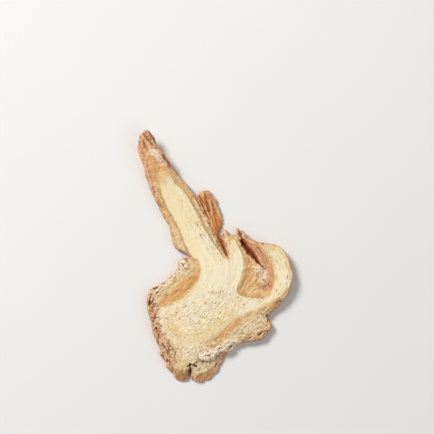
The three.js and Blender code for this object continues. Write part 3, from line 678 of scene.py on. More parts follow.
def upper_face(x, y, t):
    """Height of the upper face: the lower face and the thickness, plus the relief of each tissue."""
    u, v, depth = t["along"], t["across"], t["rim_depth"]
    pocket_way = distance_to(POCKET_LINE, x, y) / POCKET_WIDTH
    hollow = POCKET_DEPTH * ramp(1, 0.3, pocket_way) * ramp(0.2, -2.4, t["core_depth"])
    proud = CORE_PROUD * (1 - 0.7 * ramp(1.7, 0.9, pocket_way)) * (1 - 0.75 * ramp(-12, -20, y))
    lumps = LUMP_HEIGHT * layers(x, y, 2.6, 20) + GRIT_HEIGHT * layers(x, y, 0.8, 25, 2)
    rim_fall = RIM_DROP * np.clip(1 - depth / RIM_WIDTH, 0, 1) ** 1.5
    curled = np.maximum(0, blotches(x, y, 3.3, 28)) * (1 - 0.6 * t["wall"])
    rim_curl = RIM_CURL * ramp(1.0, 0.1, depth) * curled
    groove = np.exp(-(((t["core_depth"] + 0.1) / GROOVE_WIDTH) ** 2)) * (0.1 + 0.9 * t["ring"])
    fibres = (0.05 + 0.02 * t["ticks"] + 0.06 * t["soft"]) * layers(u / 4, v, 0.75, 35, 2)
    wrinkles = CREASE_DEPTH * t["crease"] + PIT_DEPTH * t["pit"] - PORE_WALL_HEIGHT * t["pore_wall"]
    wrinkles = wrinkles + CRACK_DEPTH * t["crack"] + GAP_DEPTH * t["gap"]
    folded = FOLD_HEIGHT * (t["folds"] + t["curl"])
    relief = t["soft"] * (lumps - hollow + BARK_RIDGE_HEIGHT * t["roll"] + KNOB_HEIGHT * t["knob"])
    relief += (1 - t["soft"]) * proud - GROOVE_DEPTH * groove + fibres - wrinkles
    relief += folded - rim_fall + rim_curl

    wall = t["wall_way"] / np.maximum(0.2, t["wall_way"] + depth)
    lobe = (t["lobe_way"] / np.maximum(0.2, t["lobe_way"] + depth)) ** (1.2 + 0.8 * ramp(-8, -12, x))
    sway = 0.6 * layers(u / 8, v, 2.5, 40, 2)
    ridges = np.sin(2 * np.pi * (t["wall_way"] / FURROW_SPACING + sway))
    furrows = FURROW * ridges * t["wall"] * (1 - 0.4 * wall)
    slope = BARK_SLOPE * np.clip(wall * (0.45 + 0.55 * ramp(1, 9, y)) + lobe, 0, 1)
    step_down = FRINGE_STEP * t["lobe"] * ramp(-9, -4, x) * (1 - slope)
    bark = furrows - slope * thickness(x, y) - step_down + fibres - 0.8 * wrinkles + folded + rim_curl
    bark += (t["lobe_way"] > 0) * lumps
    sloping = (t["wall_way"] > 0) | (t["lobe_way"] > 0)
    return underside(x, y) + thickness(x, y) + np.where(sloping, bark, relief)


def lower_face(x, y):
    """Height of the lower face, with shallow pits that only rise from it, so that it rests flat."""
    return underside(x, y) + LOWER_PITS * np.abs(layers(x, y, 1.4, 50, 2))


# The slice's mesh
# One closed skin: the upper and lower cut faces are filled in with triangles whose edges follow the rim,
# the growth ring and the edges of the cut, and rows of bark join them round the rim.
UPPER_SPACING = 0.235
LOWER_SPACING = 0.42
SHAKE = 0.12
CLEAR_OF_LOOP = 0.62
CLEAR_OF_CREASES = 0.55
CREASE_INSET = 0.15
BARK_ROWS = 8
BARK_BULGE = 0.28
BARK_WRINKLE = 0.2
MIDDLE_STEP = 0.2
MEETING = 0.985
MOUTH_START, MOUTH_END = 0.3, 2.6
GRAIN_DOWN_BARK = 3


def fill(loop, creases, spacing):
    """Triangles inside a loop: a constrained Delaunay triangulation of the loop, of the crease lines and of
    a honeycomb of places that keeps clear of them, less the triangles whose centres are outside the
    loop."""
    low, high = loop.min(0), loop.max(0)
    columns = np.arange(low[0], high[0], spacing)
    rows = np.arange(low[1], high[1], spacing * math.sqrt(0.75))
    x, y = np.meshgrid(columns, rows)
    x = x + np.where(np.arange(len(rows)) % 2, spacing / 2, 0)[:, None]
    x, y = x.ravel(), y.ravel()
    shake = np.random.default_rng(60).uniform(-SHAKE, SHAKE, (2, len(x))) * spacing
    x, y = x + shake[0], y + shake[1]
    inside = is_inside(loop[::3], x, y)
    x, y = x[inside], y[inside]
    clear = distance_to(np.vstack([loop, loop[:1]]), x, y) > CLEAR_OF_LOOP * spacing
    points, count = [loop], len(loop)
    edges = [(i, (i + 1) % count) for i in range(count)]
    for crease in creases:
        clear &= distance_to(crease, x, y) > CLEAR_OF_CREASES * spacing
        points.append(crease)
        edges += [(count + i, count + i + 1) for i in range(len(crease) - 1)]
        count += len(crease)
    points = np.vstack([*points, np.c_[x[clear], y[clear]]])
    filled = delaunay_2d_cdt(points.tolist(), edges, [], 0, 1e-7, False)
    places = np.array([tuple(place) for place in filled[0]])
    corners = np.array(filled[2])
    corners = corners[is_inside(loop, *places[corners].mean(1).T)]
    a, b, c = places[corners].transpose(1, 0, 2)
    turn = (b[:, 0] - a[:, 0]) * (c[:, 1] - a[:, 1]) - (b[:, 1] - a[:, 1]) * (c[:, 0] - a[:, 0])
    corners = np.where((turn < 0)[:, None], corners[:, ::-1], corners)
    return places, corners


def kept_inside(line, loop, least):
    """The longest stretch of a line that stays at least so far inside a loop."""
    inside = depth_inside(loop, *line.T) > least
    starts = np.flatnonzero(inside & ~np.r_[False, inside[:-1]])
    ends = np.flatnonzero(inside & ~np.r_[inside[1:], False])
    longest = np.argmax(ends - starts)
    return line[starts[longest] : ends[longest] + 1]


def drawn_together(loop, middle, mouth):
    """A loop whose points between the two corners of a gap's mouth are moved most of the way to the gap's
    middle line, and less near those corners: the bark of two side roots meets under the gap."""
    line = smooth_line(middle, MIDDLE_STEP)
    nearest = line[np.linalg.norm(loop[:, None] - line[None], axis=2).argmin(1)]
    first, last = (np.linalg.norm(loop - np.array(corner), axis=1).argmin() for corner in mouth)
    from_mouth = RIM_STEP * np.minimum(np.arange(len(loop)) - first, last - np.arange(len(loop)))
    share = MEETING * ramp(MOUTH_START, MOUTH_END, from_mouth)
    return loop + share[:, None] * (nearest - loop)


def new_object(name, points, faces):
    """A piece in the scene and its mesh, from points in millimetres and faces as lists of their indices."""
    mesh = bpy.data.meshes.new(name)
    mesh.from_pydata((points * MM).tolist(), [], faces)
    mesh.polygons.foreach_set("use_smooth", [True] * len(faces))
    piece = bpy.data.objects.new(name, mesh)
    bpy.context.collection.objects.link(piece)
    return piece, mesh


def keep(mesh, name, values):
    """Keeps a value or a vector at every vertex of a mesh under a name."""
    kind, part = ("FLOAT", "value") if values.ndim == 1 else ("FLOAT_VECTOR", "vector")
    kept = mesh.attributes.new(name, kind, "POINT")
    kept.data.foreach_set(part, values.astype(np.float32).ravel())


upper_creases = [np.vstack([core_ring, core_ring[:1]])]
upper_creases += [kept_inside(line, rim, CREASE_INSET) for line in (torn_wall, torn_lobes)]
upper_places, upper_corners = fill(rim, upper_creases, UPPER_SPACING)
upper_tissues = tissues(*upper_places.T)
upper_heights = upper_face(*upper_places.T, upper_tissues)
lower_rim = drawn_together(rim, SLIT_MIDDLE, SLIT_MOUTH)
lower_rim = drawn_together(lower_rim, NOTCH_MIDDLE, NOTCH_MOUTH)
lower_places, lower_corners = fill(lower_rim, [], LOWER_SPACING)
lower_heights = lower_face(*lower_places.T)

rim_count = len(rim)
way_out = outward(rim)
share_down = np.arange(1, BARK_ROWS)[:, None] / BARK_ROWS
rim_top, rim_bottom = upper_heights[:rim_count], lower_heights[:rim_count]
tall = np.clip((rim_top - rim_bottom) / HEAD_THICKNESS, 0, 1)
down = rim_top + (rim_bottom - rim_top) * share_down
round_rim = np.broadcast_to(np.arange(rim_count) * RIM_STEP, down.shape)
bulge = BARK_BULGE * np.sin(np.pi * share_down) + BARK_WRINKLE * layers(round_rim / 3, down, 0.7, 65, 2)
bulge *= tall * np.sin(np.pi * share_down) ** 0.4
bark_places = rim + (lower_rim - rim) * share_down[:, :, None] + way_out * bulge[:, :, None]
bark_places = bark_places.reshape(-1, 2)

places = np.vstack([upper_places, bark_places, lower_places])
heights = np.r_[upper_heights, down.ravel(), lower_heights]
first_lower = len(upper_places) + len(bark_places)
ring_starts = [0, *(len(upper_places) + rim_count * np.arange(BARK_ROWS - 1)), first_lower]
this, following = np.arange(rim_count), np.roll(np.arange(rim_count), -1)
bark_faces = [
    np.c_[upper + this, lower + this, lower + following, upper + following]
    for upper, lower in zip(ring_starts[:-1], ring_starts[1:])
]
bark_faces = np.vstack(bark_faces)
faces = [*upper_corners.tolist(), *bark_faces.tolist(), *(lower_corners[:, ::-1] + first_lower).tolist()]
root_slice, slice_mesh = new_object("root_slice", np.c_[places, heights], faces)

rest = tissues(*places[len(upper_places) :].T)
rest["crack"] *= 0
KEPT_AT_VERTICES = [
    "core_edge", "rim_depth", "orange", "band", "pink", "pale", "yellow", "pocket", "roll", "wall", "lobe",
    "knob", "crack", "pit", "pore_wall", "ring", "ticks", "crease", "folds", "curl", "slit", "gap",
    "clean_rim", "streaked", "matted", "olive", "bark_edge", "bark_glow",
]
for name in KEPT_AT_VERTICES:
    keep(slice_mesh, name, np.r_[upper_tissues[name], rest[name]])
across = np.r_[upper_tissues["across"], rest["across"]]
across[len(upper_places) : first_lower] += GRAIN_DOWN_BARK * down.ravel()
keep(slice_mesh, "grain", np.c_[np.r_[upper_tissues["along"], rest["along"]], across, heights])

# The finish of the cut faces
# Dry root tissue, matte and fibrous: an ivory core with dark ticks, a tan cortex with orange bands, and
# pinkish skin. Creases, pits, fold troughs, cracks and the gap under the fringe are darkened by painted
# shade, and the crests of folds and curls are lightened by a painted highlight. A coat is a colour and the
# terms whose product is its share.
IVORY = "#f0e4c2"
IVORY_SHADE = "#dec893"
IVORY_FIBRE = "#fbf6e0"
STRAW = "#f2da9c"
OCHRE = "#dfb97d"
CORTEX = "#e6cb98"
CORTEX_SHADE = "#bf9055"
BAND = "#dfb47c"
BAND_SHADE = "#b98a50"
ORANGE = "#dea263"
ORANGE_SHADE = "#ba7638"
RING = "#97794a"
PINK = "#e3a578"
PINK_SHADE = "#9c5434"
PALE = "#f8e8cc"
CREAM = "#f6e2b8"
RIM_SKIN = "#e3b992"
OLIVE = "#b68f4f"
# The next colour is partly the lobes' own brown rim and partly painted shade along it.
RUST_BROWN_AND_SHADE = "#b4733a"
TICK = "#6d6040"
# The next three colours are painted shade: in creases, pits and fold troughs, in cracks, and in the gap
# under the fringe.
CREASE_SHADE = "#854522"
CRACK_SHADE = "#4a2414"
GAP_SHADE = "#4a2a16"
GRAIN_RELIEF = 0.22


def colour(code):
    """A six-digit sRGB colour code as linear red, green, blue and alpha."""
    parts = [int(code[i : i + 2], 16) / 255 for i in (1, 3, 5)]
    return [p / 12.92 if p <= 0.04045 else ((p + 0.055) / 1.055) ** 2.4 for p in parts] + [1]


def fill_inputs(tree, node, inputs):
    """Fills a node's inputs: a socket is linked, and anything else is a value."""
    for key, value in inputs.items():
        if isinstance(value, bpy.types.NodeSocket):
            tree.links.new(value, node.inputs[key])
        else:
            node.inputs[key].default_value = value


def put(tree, kind, inputs=None, **settings):
    """Adds a node, sets its properties and fills its inputs."""
    node = tree.nodes.new(kind)
    for name, value in settings.items():
        setattr(node, name, value)
    fill_inputs(tree, node, inputs or {})
    return node


def stepped(tree, value, low, high):
    """A smooth step from 0 at low to 1 at high, which falls where low is above high."""
    ends = {"Value": value_of(tree, value), "From Min": min(low, high), "From Max": max(low, high)}
    ends |= {"To Min": float(low > high), "To Max": float(low < high)}
    return put(tree, "ShaderNodeMapRange", ends, interpolation_type="SMOOTHSTEP").outputs["Result"]


def value_of(tree, term):
    """The value of a term: the mark kept at the vertices under a name, or the step of a value between two
    ends. A number or a socket is its own value."""
    if isinstance(term, str):
        return put(tree, "ShaderNodeAttribute", attribute_name=term).outputs["Fac"]
    return stepped(tree, *term) if isinstance(term, tuple) else term


def reckon(tree, operation, first, second=0.0):
    """The value of a sum, product or other operation on one or two terms."""
    inputs = {0: value_of(tree, first), 1: value_of(tree, second)}
    return put(tree, "ShaderNodeMath", inputs, operation=operation).outputs[0]


def product(tree, first, *others):
    """The product of one or more terms."""
    result = value_of(tree, first)
    for other in others:
        result = reckon(tree, "MULTIPLY", result, other)
    return result


def plus(tree, first, *factors):
    """A term with the product of some others added."""
    return reckon(tree, "ADD", first, product(tree, *factors))


def less(tree, first, *factors):
    """A term with the product of some others taken off."""
    return reckon(tree, "SUBTRACT", first, product(tree, *factors))


def coated(tree, base, *coats):
    """A colour with one coat after another laid over it, each by its share."""
    for over, *terms in coats:
        under, over = (colour(value) if isinstance(value, str) else value for value in (base, over))
        inputs = {0: product(tree, *terms), 6: under, 7: over}
        base = put(tree, "ShaderNodeMix", inputs, data_type="RGBA").outputs[2]
    return base


def noise(tree, vector, scale, detail=3.0, roughness=0.55):
    """Noise from 0 to 1, with a scale in repeats per unit of the vector."""
    inputs = {"Vector": vector, "Scale": scale, "Detail": detail, "Roughness": roughness}
    return put(tree, "ShaderNodeTexNoise", inputs).outputs["Fac"]


def thread(tree, value, width):
    """Thin lines where a noise passes its middle value: 1 on the line, and 0 past a width to either
    side."""
    return stepped(tree, reckon(tree, "ABSOLUTE", less(tree, value, 0.5)), width, 0.2 * width)


def streak_group():
    """Streaks and cells along the fibres: noise and scattered cells on the grain, with a number of repeats
    per millimetre each way."""
    group = bpy.data.node_groups.new("streaks along the fibres", "ShaderNodeTree")
    for name in ("Along", "Across"):
        group.interface.new_socket(name, in_out="INPUT", socket_type="NodeSocketFloat")
    for name in ("Streaks", "Cells", "Chance"):
        group.interface.new_socket(name, in_out="OUTPUT", socket_type="NodeSocketFloat")
    given = group.nodes.new("NodeGroupInput").outputs
    grain = put(group, "ShaderNodeAttribute", attribute_name="grain").outputs["Vector"]
    rates = put(group, "ShaderNodeCombineXYZ", {"X": given["Along"], "Y": given["Across"]}).outputs[0]
    drawn = put(group, "ShaderNodeVectorMath", {0: grain, 1: rates}, operation="MULTIPLY").outputs[0]
    cells = put(group, "ShaderNodeTexVoronoi", {"Vector": drawn, "Scale": 1.0}).outputs
    chance = put(group, "ShaderNodeSeparateColor", {0: cells["Color"]}).outputs[0]
    results = {"Streaks": noise(group, drawn, 1.0), "Cells": cells["Distance"], "Chance": chance}
    put(group, "NodeGroupOutput", results)
    return group


streaks_along = streak_group()


def streaks(tree, along, across):
    """The streak group's outputs for a rate each way, in repeats per millimetre."""
    rates = {"Along": along, "Across": across}
    return put(tree, "ShaderNodeGroup", rates, node_tree=streaks_along).outputs


def new_finish(name, mesh):
    """A mesh's next material, as its node tree, its Principled shader and a vector of the place in
    millimetres."""
    material = bpy.data.materials.new(name)
    material.use_nodes = True
    mesh.materials.append(material)
    tree = material.node_tree
    place = put(tree, "ShaderNodeTexCoord").outputs["Object"]
    place = put(tree, "ShaderNodeVectorMath", {0: place, 3: 1 / MM}, operation="SCALE").outputs[0]
    return tree, tree.nodes["Principled BSDF"], place


def bumped(tree, height, strength, relief):
    """The surface's normal, tilted by a height whose whole range is a relief in millimetres."""
    inputs = {"Height": height, "Strength": strength, "Distance": relief * MM}
    return put(tree, "ShaderNodeBump", inputs).outputs[0]


tree, shader, place = new_finish("cut_root", slice_mesh)
broad = streaks(tree, 0.07, 0.45)["Streaks"]
medium = streaks(tree, 0.16, 1.2)["Streaks"]
fine = streaks(tree, 0.45, 2.8)["Streaks"]
short = streaks(tree, 0.8, 2.2)["Streaks"]
mottle = noise(tree, place, 0.4)
grit = noise(tree, place, 1.3, 4.0, 0.7)
sand = noise(tree, place, 2.3, 3.0, 0.65)
dark_streak = stepped(tree, medium, 0.52, 0.36)
dark_line, pale_line = stepped(tree, fine, 0.48, 0.34), stepped(tree, fine, 0.53, 0.66)
dark_grain, pale_grain = stepped(tree, sand, 0.46, 0.32), stepped(tree, sand, 0.54, 0.68)
dark_thread = thread(tree, streaks(tree, 0.35, 0.65)["Streaks"], 0.045)
pale_thread = thread(tree, streaks(tree, 0.4, 0.8)["Streaks"], 0.06)

fibrous, grainy = plus(tree, 0.2, "ticks", 0.72), plus(tree, 0.13, "ticks", 0.5)
ivory = coated(
    tree, IVORY,
    (STRAW, (broad, 0.5, 0.36), 0.3),
    (IVORY_FIBRE, (medium, 0.5, 0.62), 0.35),
    (IVORY_SHADE, "ticks", 0.25),
    (IVORY_SHADE, dark_streak, (grit, 0.35, 0.6), 0.25),
    (CORTEX_SHADE, (short, 0.48, 0.34), fibrous),
    (CORTEX_SHADE, dark_grain, grainy),
    (IVORY_FIBRE, (short, 0.53, 0.66), fibrous),
    (IVORY_FIBRE, pale_grain, grainy, 1.3),
    (CORTEX_SHADE, dark_thread, "matted", 0.6),
    (IVORY_FIBRE, pale_thread, "matted", 0.8),
)
cortex = coated(
    tree, CORTEX,
    (BAND, (mottle, 0.44, 0.58), 0.6),
    (CORTEX_SHADE, dark_streak, 0.65),
    (CREAM, pale_line, 0.8),
    (CORTEX_SHADE, dark_grain, 0.65),
    (CREAM, pale_grain, 0.6),
)
golden = coated(tree, STRAW, (OCHRE, ("yellow", 0.4, 0.95), plus(tree, 0.55, (sand, 0.65, 0.4), 0.45)))
band = coated(
    tree, BAND,
    (BAND_SHADE, dark_streak, 0.8),
    (CORTEX, pale_line, 0.7),
    (BAND_SHADE, dark_grain, 0.5),
)
orange = coated(
    tree, ORANGE,
    (ORANGE_SHADE, dark_streak, 0.55),
    (ORANGE_SHADE, dark_line, 0.45),
    (CORTEX, pale_line, 0.4),
)
pocket = coated(tree, orange, (CORTEX, (mottle, 0.4, 0.6), 0.45))
lobe_edge = plus(tree, "rim_depth", grit, 2.4)
lobe_tone = coated(
    tree, cortex,
    (CREAM, 0.75),
    (CORTEX_SHADE, dark_line, 0.5),
    (OLIVE, "olive", (grit, 0.2, 0.4)),
    (BAND_SHADE, "olive", dark_streak, 0.6),
    # brown along the lobes' rims: partly their own colour, partly painted shade
    (RUST_BROWN_AND_SHADE, (lobe_edge, 3.2, 1.5)),
    (BAND_SHADE, (short, 0.43, 0.35), 0.7),
    (CREAM, pale_grain, 0.5),
    (PALE, pale_line, less(tree, 1.0, "olive", 0.8), 0.6),
)
smooth = less(tree, 1.0, "roll", 0.5)
pink = coated(
    tree, PINK,
    (PINK_SHADE, dark_streak, smooth, 0.8),
    (PINK_SHADE, dark_grain, smooth, 0.7),
    (CREAM, pale_line, 0.5),
)
rim_edge = plus(tree, "rim_depth", less(tree, grit, 0.5), 1.8)
rim_tone = coated(tree, pink, (RIM_SKIN, (mottle, 0.42, 0.56), less(tree, 1.0, "slit")))
edge = plus(tree, "core_edge", less(tree, grit, 0.5), 1.7)
off_core = product(tree, "matted", (edge, 0.3, -0.3))
thread_shade = coated(tree, PINK_SHADE, (BAND_SHADE, ("rim_depth", 0.6, 3.0)))
pale = reckon(tree, "MAXIMUM", "pale", product(tree, "knob", 0.7))
raised = plus(tree, "folds", "curl")
spots = streaks(tree, 1.0, 2.2)
spot_chance = plus(tree, spots["Chance"], "ticks", 0.13)
tick = product(tree, (spots["Cells"], 0.44, 0.2), (spot_chance, 0.92, 1.07), (edge, -0.3, 0.4))
surface = coated(
    tree, cortex,
    (ivory, (edge, -0.4, 0.35)),
    (golden, "yellow", (grit, 0.3, 0.6)),
    (TICK, "streaked", (fine, 0.45, 0.33), 0.9),
    (band, "band", (grit, 0.25, 0.55)),
    (orange, "orange", (grit, 0.2, 0.6)),
    (pocket, "pocket", (grit, 0.2, 0.5), 0.9),
    (OLIVE, (edge, -1.5, -0.5), (edge, 0.1, -0.3), "ring", 0.45),
    (RING, (edge, -0.5, -0.12), (edge, 0.28, -0.08), "ring", 0.55),
    (lobe_tone, "lobe", 0.9),
    (pink, "pink", (grit, 0.25, 0.5)),
    # painted shade in the pits
    (CREASE_SHADE, "pit", (grit, 0.3, 0.5), 0.8),
    (RIM_SKIN, "pore_wall", 0.75),
    (rim_tone, (rim_edge, 0.75, 0.3), less(tree, 0.85, "clean_rim", 0.65)),
    (CORTEX_SHADE, off_core, (grit, 0.56, 0.42), 0.75),
    (CREAM, off_core, (grit, 0.56, 0.66), 0.7),
    (thread_shade, dark_thread, off_core, 0.85),
    (CREAM, pale_thread, off_core, 0.8),
    (PALE, pale, (grit, 0.34, 0.5), less(tree, 1.0, dark_grain, 0.7)),
    # painted shade in the gaps between the pale flakes
    (CREASE_SHADE, pale, (short, 0.47, 0.39), (sand, 0.6, 0.5), 0.85),
    # painted highlight on the crests of the folds and of the knob's curls
    (PALE, (raised, 0.3, 0.9), 0.6),
    # painted shade in the troughs of the folds
    (CREASE_SHADE, ("folds", -0.4, -0.95), 0.75),
    # painted shade in the creases
    (CREASE_SHADE, ("crease", 0.15, 0.8), (grit, 0.3, 0.55), smooth, 0.8),
    # painted shade in the gap under the fringe
    (GAP_SHADE, "gap", (fine, 0.6, 0.45), 0.9),
    (TICK, tick),
    # painted shade in the cracks
    (CRACK_SHADE, ("crack", 0.15, 0.8), (sand, 0.25, 0.5), 0.95),
)
roughest = reckon(tree, "MAXIMUM", (edge, 1.0, -0.5), product(tree, "ticks", 0.6))
height = product(tree, plus(tree, product(tree, fine, 0.7), sand, 0.8), plus(tree, 0.4, roughest))
normal = bumped(tree, less(tree, height, tick, 0.5), 0.8, GRAIN_RELIEF)
fill_inputs(tree, shader, {"Base Color": surface, "Roughness": 0.8, "Specular IOR Level": 0.25})
fill_inputs(tree, shader, {"Normal": normal})

# The finish of the bark
# Thin reddish brown skin, dull and furrowed lengthwise. It shows round the rim and down the wall beside the
# long root, where the cut ran out of the root. Inside the slit and in its creases it is darkened by painted
# shade.
BARK = "#dea266"
BARK_SHADE = "#935326"
BARK_SKIN = "#be8a62"
BARK_RIDGE = "#efcba0"
BARK_GLOW = "#d98644"
SLIT_SHADE = "#9c4e24"
BARK_RELIEF = 0.2
tree, shader, place = new_finish("root_bark", slice_mesh)
medium = streaks(tree, 0.08, 0.9)["Streaks"]
fine = streaks(tree, 0.25, 2.2)["Streaks"]
grit = noise(tree, place, 1.3, 4.0, 0.65)
patches = noise(tree, place, 0.3)
on_side = less(tree, 1.0, "wall")
bark = coated(
    tree, BARK,
    (BARK_SKIN, on_side, (patches, 0.62, 0.42), 0.7),
    (RIM_SKIN, on_side, (patches, 0.54, 0.68), 0.6),
    (BARK_SHADE, (medium, 0.54, 0.4)),
    (BARK_RIDGE, (fine, 0.52, 0.64), 0.75),
    (BARK_SHADE, (fine, 0.46, 0.32), 0.7),
    (PINK, (grit, 0.5, 0.7), 0.35),
    (RIM_SKIN, "bark_edge", (grit, 0.3, 0.5), 0.7),
    (BARK_GLOW, "bark_glow", (grit, 0.25, 0.45), 0.8),
    # painted shade in the creases of the bark
    (BARK_SHADE, ("crease", 0.2, 0.9), 0.6),
    # painted shade on the walls inside the slit and, faintly, the notch
    (SLIT_SHADE, "slit", on_side, 0.9),
)
fill_inputs(tree, shader, {"Base Color": bark, "Roughness": 0.82, "Specular IOR Level": 0.25})
fill_inputs(tree, shader, {"Normal": bumped(tree, fine, 0.7, BARK_RELIEF)})

centres = upper_places[upper_corners].mean(1)
upper_finish = is_inside(wall_region, *centres.T).astype(int)
finish_of_face = np.r_[upper_finish, np.ones(len(bark_faces), int), np.zeros(len(lower_corners), int)]
slice_mesh.polygons.foreach_set("material_index", finish_of_face)
slice_mesh.update()
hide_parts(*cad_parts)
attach(root_slice, "root")

# The frayed fibres
# Fibres torn loose by the knife and by drying stand out from the rim, hang as a white fringe over the lower
# lobes and lie on the pale cut face. Each tapers from a square root to a point.
FRAYED_EDGES = [
    ([(-14.0, -2.3), (-16.3, -7.3), (-22.1, -11.7), (-26.1, -15.9)], 2.0, 1.0),
    ([(-25.4, -22.5), (-23.8, -29.8), (-20.9, -35.9), (-18.6, -43.1)], 2.0, 1.0),
    ([(5.1, -36.5), (11.8, -33.1), (18.2, -31.9), (21.4, -26.9), (20.1, -23.6), (24.0, -19.0)], 2.0, 1.0),
    ([(10.3, 9.5), (9.0, 8.0), (8.5, 10.5), (5.4, 7.8), (2.7, 9.1)], 1.5, 1.0),
    ([(1.1, 9.1), (2.3, 11.8), (1.0, 19.3), (-4.6, 25.5), (-9.2, 24.5)], 1.5, 0.8),
    ([(-17.5, 35.7), (-21.9, 41.1)], 1.5, 0.5),
    ([(-20.0, 15.1), (-16.5, 7.2), (-12.1, 1.6)], 1.5, 0.5),
    ([(-10.9, -47.1), (-6.3, -48.2), (-0.1, -45.0), (3.5, -38.8)], 1.5, 0.6),
]
ELSEWHERE = 0.04
FRINGE_LINE = [(-6.4, -39.2), (-2.8, -40.2), (-0.5, -39.4), (1.4, -36.9), (5.2, -36.3), (8.0, -33.9)]
FRINGE_SPACING = 0.06
FRINGE_SCATTER = 0.3
FRINGE_INSET = 0.45
FRINGE_SUNK = 0.08
TUFTED = 0.9
EDGE_COUNT = 460
EDGE_INSET = 0.15
EDGE_ALONG_GRAIN = 0.9
LIFTED_COUNT = 520
LIFTED_SUNK = 0.02
LIFTED_TURN = 0.35
STRAND_SIDES = 4
STRAND_RINGS = 6
STRAND_FLATNESS = 0.6
STRAND_TAPER = 0.7
STRAND_CLEARANCE = 0.02
chance = np.random.default_rng(90)


def strands(roots, runs, lengths, widths):
    """Tapered strands as vertices and faces. A square section follows a path from each root, which bends by
    the square of the way along it, and shrinks by a power of the way that is left to a single point. A
    strand that would reach below the resting face is lifted clear of it."""
    count = len(roots)
    runs = runs / np.linalg.norm(runs, axis=1)[:, None]
    side = np.cross(runs, (0, 0, 1.0))
    side /= np.linalg.norm(side, axis=1)[:, None]
    above = np.cross(side, runs)
    bend = chance.uniform(-0.75, 0.75, (count, 1)) * side + chance.uniform(-0.25, 0.1, (count, 1)) * above
    t = np.linspace(0, 1, STRAND_RINGS, endpoint=False)[None, :, None]
    paths = roots[:, None] + lengths[:, None, None] * (runs[:, None] * t + bend[:, None] * t**2)
    turn = 2 * np.pi * np.arange(STRAND_SIDES)[:, None] / STRAND_SIDES
    around = np.cos(turn) * side[:, None] + STRAND_FLATNESS * np.sin(turn) * above[:, None]
    half_widths = widths[:, None, None, None] * (1 - t[..., None]) ** STRAND_TAPER
    rings = paths[:, :, None] + half_widths * around[:, None]
    tips = roots + lengths[:, None] * (runs + bend)
    points = np.concatenate([rings.reshape(count, -1, 3), tips[:, None]], axis=1)
    points[..., 2] += np.maximum(0, STRAND_CLEARANCE - points[..., 2].min(1))[:, None]
    k = np.arange(STRAND_SIDES)
    after = (k + 1) % STRAND_SIDES
    starts = STRAND_SIDES * np.arange(STRAND_RINGS)
    quads = [np.c_[ring + after, ring + k, far + k, far + after] for ring, far in zip(starts, starts[1:])]
    quads = np.vstack([*quads, k])
    ends = np.c_[starts[-1] + after, starts[-1] + k, np.full(STRAND_SIDES, STRAND_SIDES * STRAND_RINGS)]
    offset = points.shape[1] * np.arange(count)[:, None, None]
    return points, (quads + offset).reshape(-1, 4), (ends + offset).reshape(-1, 3)


def picked(count, share):
    """Indices picked at random, each as likely as its share."""
    return chance.choice(len(share), count, p=share / share.sum())


def grain_run(spots):
    """The run of the fibres at some places, one way or the other at random."""
    ways = np.c_[sample(run_x, *spots.T), sample(run_y, *spots.T)]
    return ways * chance.choice([-1, 1], (len(spots), 1))


def spread(counts, *ends):
    """A random value for each fibre, between two ends of its own for the rim's, the fringe's and the lifted
    ones."""
    return np.concatenate([chance.uniform(low, high, count) for count, (low, high) in zip(counts, ends)])


at = picked(EDGE_COUNT, near(FRAYED_EDGES, *rim.T, 0) + ELSEWHERE)
edge_runs = way_out[at] * chance.uniform(0.1, 0.75, (EDGE_COUNT, 1)) + EDGE_ALONG_GRAIN * grain_run(rim[at])
edge_runs = np.c_[edge_runs, chance.uniform(-0.4, 0.25, EDGE_COUNT)]
below_edge = chance.uniform(0.05, 0.5, EDGE_COUNT) * tall[at]
edge_roots = np.c_[rim[at] - EDGE_INSET * way_out[at], rim_top[at] - below_edge]

fringe = smooth_line(FRINGE_LINE, FRINGE_SPACING)
fringe_line_run = np.gradient(fringe, axis=0) / FRINGE_SPACING
fringe_ways = fringe_line_run @ np.array([(0, -1), (1, 0)])
tuft = blotches(*fringe.T, 0.7, 92)[:, None]
fringe_places = fringe + FRINGE_SCATTER * chance.uniform(-1, 1, fringe.shape) - FRINGE_INSET * fringe_ways
fringe_heights = upper_face(*fringe_places.T, tissues(*fringe_places.T))
fringe_roots = np.c_[fringe_places, fringe_heights - FRINGE_SUNK]
fringe_runs = fringe_ways + TUFTED * tuft * fringe_line_run
fringe_runs = fringe_runs + FRINGE_SCATTER * chance.uniform(-1, 1, fringe.shape)
fringe_runs = np.c_[fringe_runs, chance.uniform(-0.25, 0.15, len(fringe))]

lifted_share = np.maximum(upper_tissues["pale"], 0.5 * upper_tissues["pores"])
lifted_share = lifted_share + 0.03 * upper_tissues["ticks"]
lifted_share = lifted_share * ramp(0.6, 1.2, upper_tissues["rim_depth"]) * (upper_tissues["lobe_way"] == 0)
on = picked(LIFTED_COUNT, lifted_share)
lifted_runs = grain_run(upper_places[on]) + LIFTED_TURN * chance.uniform(-1, 1, (LIFTED_COUNT, 2))
lifted_runs = np.c_[lifted_runs, chance.uniform(0.02, 0.3, LIFTED_COUNT)]
lifted_roots = np.c_[upper_places[on], upper_heights[on] - LIFTED_SUNK]

counts = (EDGE_COUNT, len(fringe), LIFTED_COUNT)
lengths = spread(counts, (0.5, 1.8), (0.5, 1.7), (0.6, 1.9))
widths = spread(counts, (0.03, 0.09), (0.05, 0.13), (0.03, 0.08))
brown = spread(counts, (0, 1), (0.1, 0.5), (0, 0.5))
roots = np.vstack([edge_roots, fringe_roots, lifted_roots])
runs = np.vstack([edge_runs, fringe_runs, lifted_runs])
points, quads, ends = strands(roots, runs, lengths, widths)
faces = [*quads.tolist(), *ends.tolist()]
frayed_fibres, fibre_mesh = new_object("frayed_fibres", points.reshape(-1, 3), faces)
keep(fibre_mesh, "brown", np.repeat(brown, points.shape[1]))

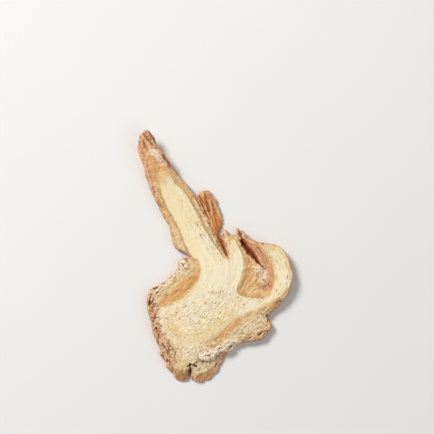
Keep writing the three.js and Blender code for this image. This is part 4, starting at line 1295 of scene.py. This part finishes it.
tree, shader, place = new_finish("frayed_fibre", fibre_mesh)
tone = coated(tree, IVORY_FIBRE, (BAND, "brown"), (CORTEX_SHADE, noise(tree, place, 2.0), 0.3))
fill_inputs(tree, shader, {"Base Color": tone, "Roughness": 0.7, "Specular IOR Level": 0.3})
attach(frayed_fibres, "root")

# The studio
# A plain pale floor under soft light from the upper left, with the camera almost straight above.
FLOOR = "#e9e8e5"
FLOOR_SHADE = "#dddbd7"
FLOOR_SIZE = 2000.0
FLOOR_DROP = 0.1
corners = np.array([(-1, -1), (1, -1), (1, 1), (-1, 1)]) * FLOOR_SIZE / 2
floor, floor_mesh = new_object("floor", np.c_[corners, np.full(4, -FLOOR_DROP)], [(0, 1, 2, 3)])
tree, shader, place = new_finish("floor", floor_mesh)
tone = coated(tree, FLOOR, (FLOOR_SHADE, noise(tree, place, 0.02), 0.3))
fill_inputs(tree, shader, {"Base Color": tone, "Roughness": 0.9})


def soft_light(name, place, size, power):
    """A square area light that faces the slice."""
    light = bpy.data.lights.new(name, "AREA")
    light.size, light.energy = size, power
    lamp = bpy.data.objects.new(name, light)
    lamp.location = place
    lamp.rotation_euler = (-lamp.location).to_track_quat("-Z", "Y").to_euler()
    bpy.context.collection.objects.link(lamp)


soft_light("key", (-0.6, 0.6, 0.75), 0.35, 12)
soft_light("fill", (0.7, -0.4, 0.9), 0.9, 2)
world = bpy.data.worlds.new("studio")
world.use_nodes = True
sky = world.node_tree.nodes["Background"]
fill_inputs(world.node_tree, sky, {"Color": (1, 1, 1, 1), "Strength": 0.34})
bpy.context.scene.world = world
bpy.context.scene.view_settings.view_transform = "Standard"

VIEW_WIDTH = 167.1 * MM
VIEW_CENTRE = (0.6 * MM, 14.9 * MM, 3 * MM)
CAMERA_DISTANCE = 0.75
CAMERA_TILT = math.radians(3)
lens = bpy.data.cameras.new("camera")
lens.sensor_width = 36
lens.lens = lens.sensor_width * CAMERA_DISTANCE / VIEW_WIDTH
lens.clip_start, lens.clip_end = 0.01, 10
camera = bpy.data.objects.new("camera", lens)
camera.location = (
    VIEW_CENTRE[0],
    VIEW_CENTRE[1] - CAMERA_DISTANCE * math.sin(CAMERA_TILT),
    VIEW_CENTRE[2] + CAMERA_DISTANCE * math.cos(CAMERA_TILT),
)
camera.rotation_euler = (CAMERA_TILT, 0, 0)
bpy.context.collection.objects.link(camera)
bpy.context.scene.camera = camera
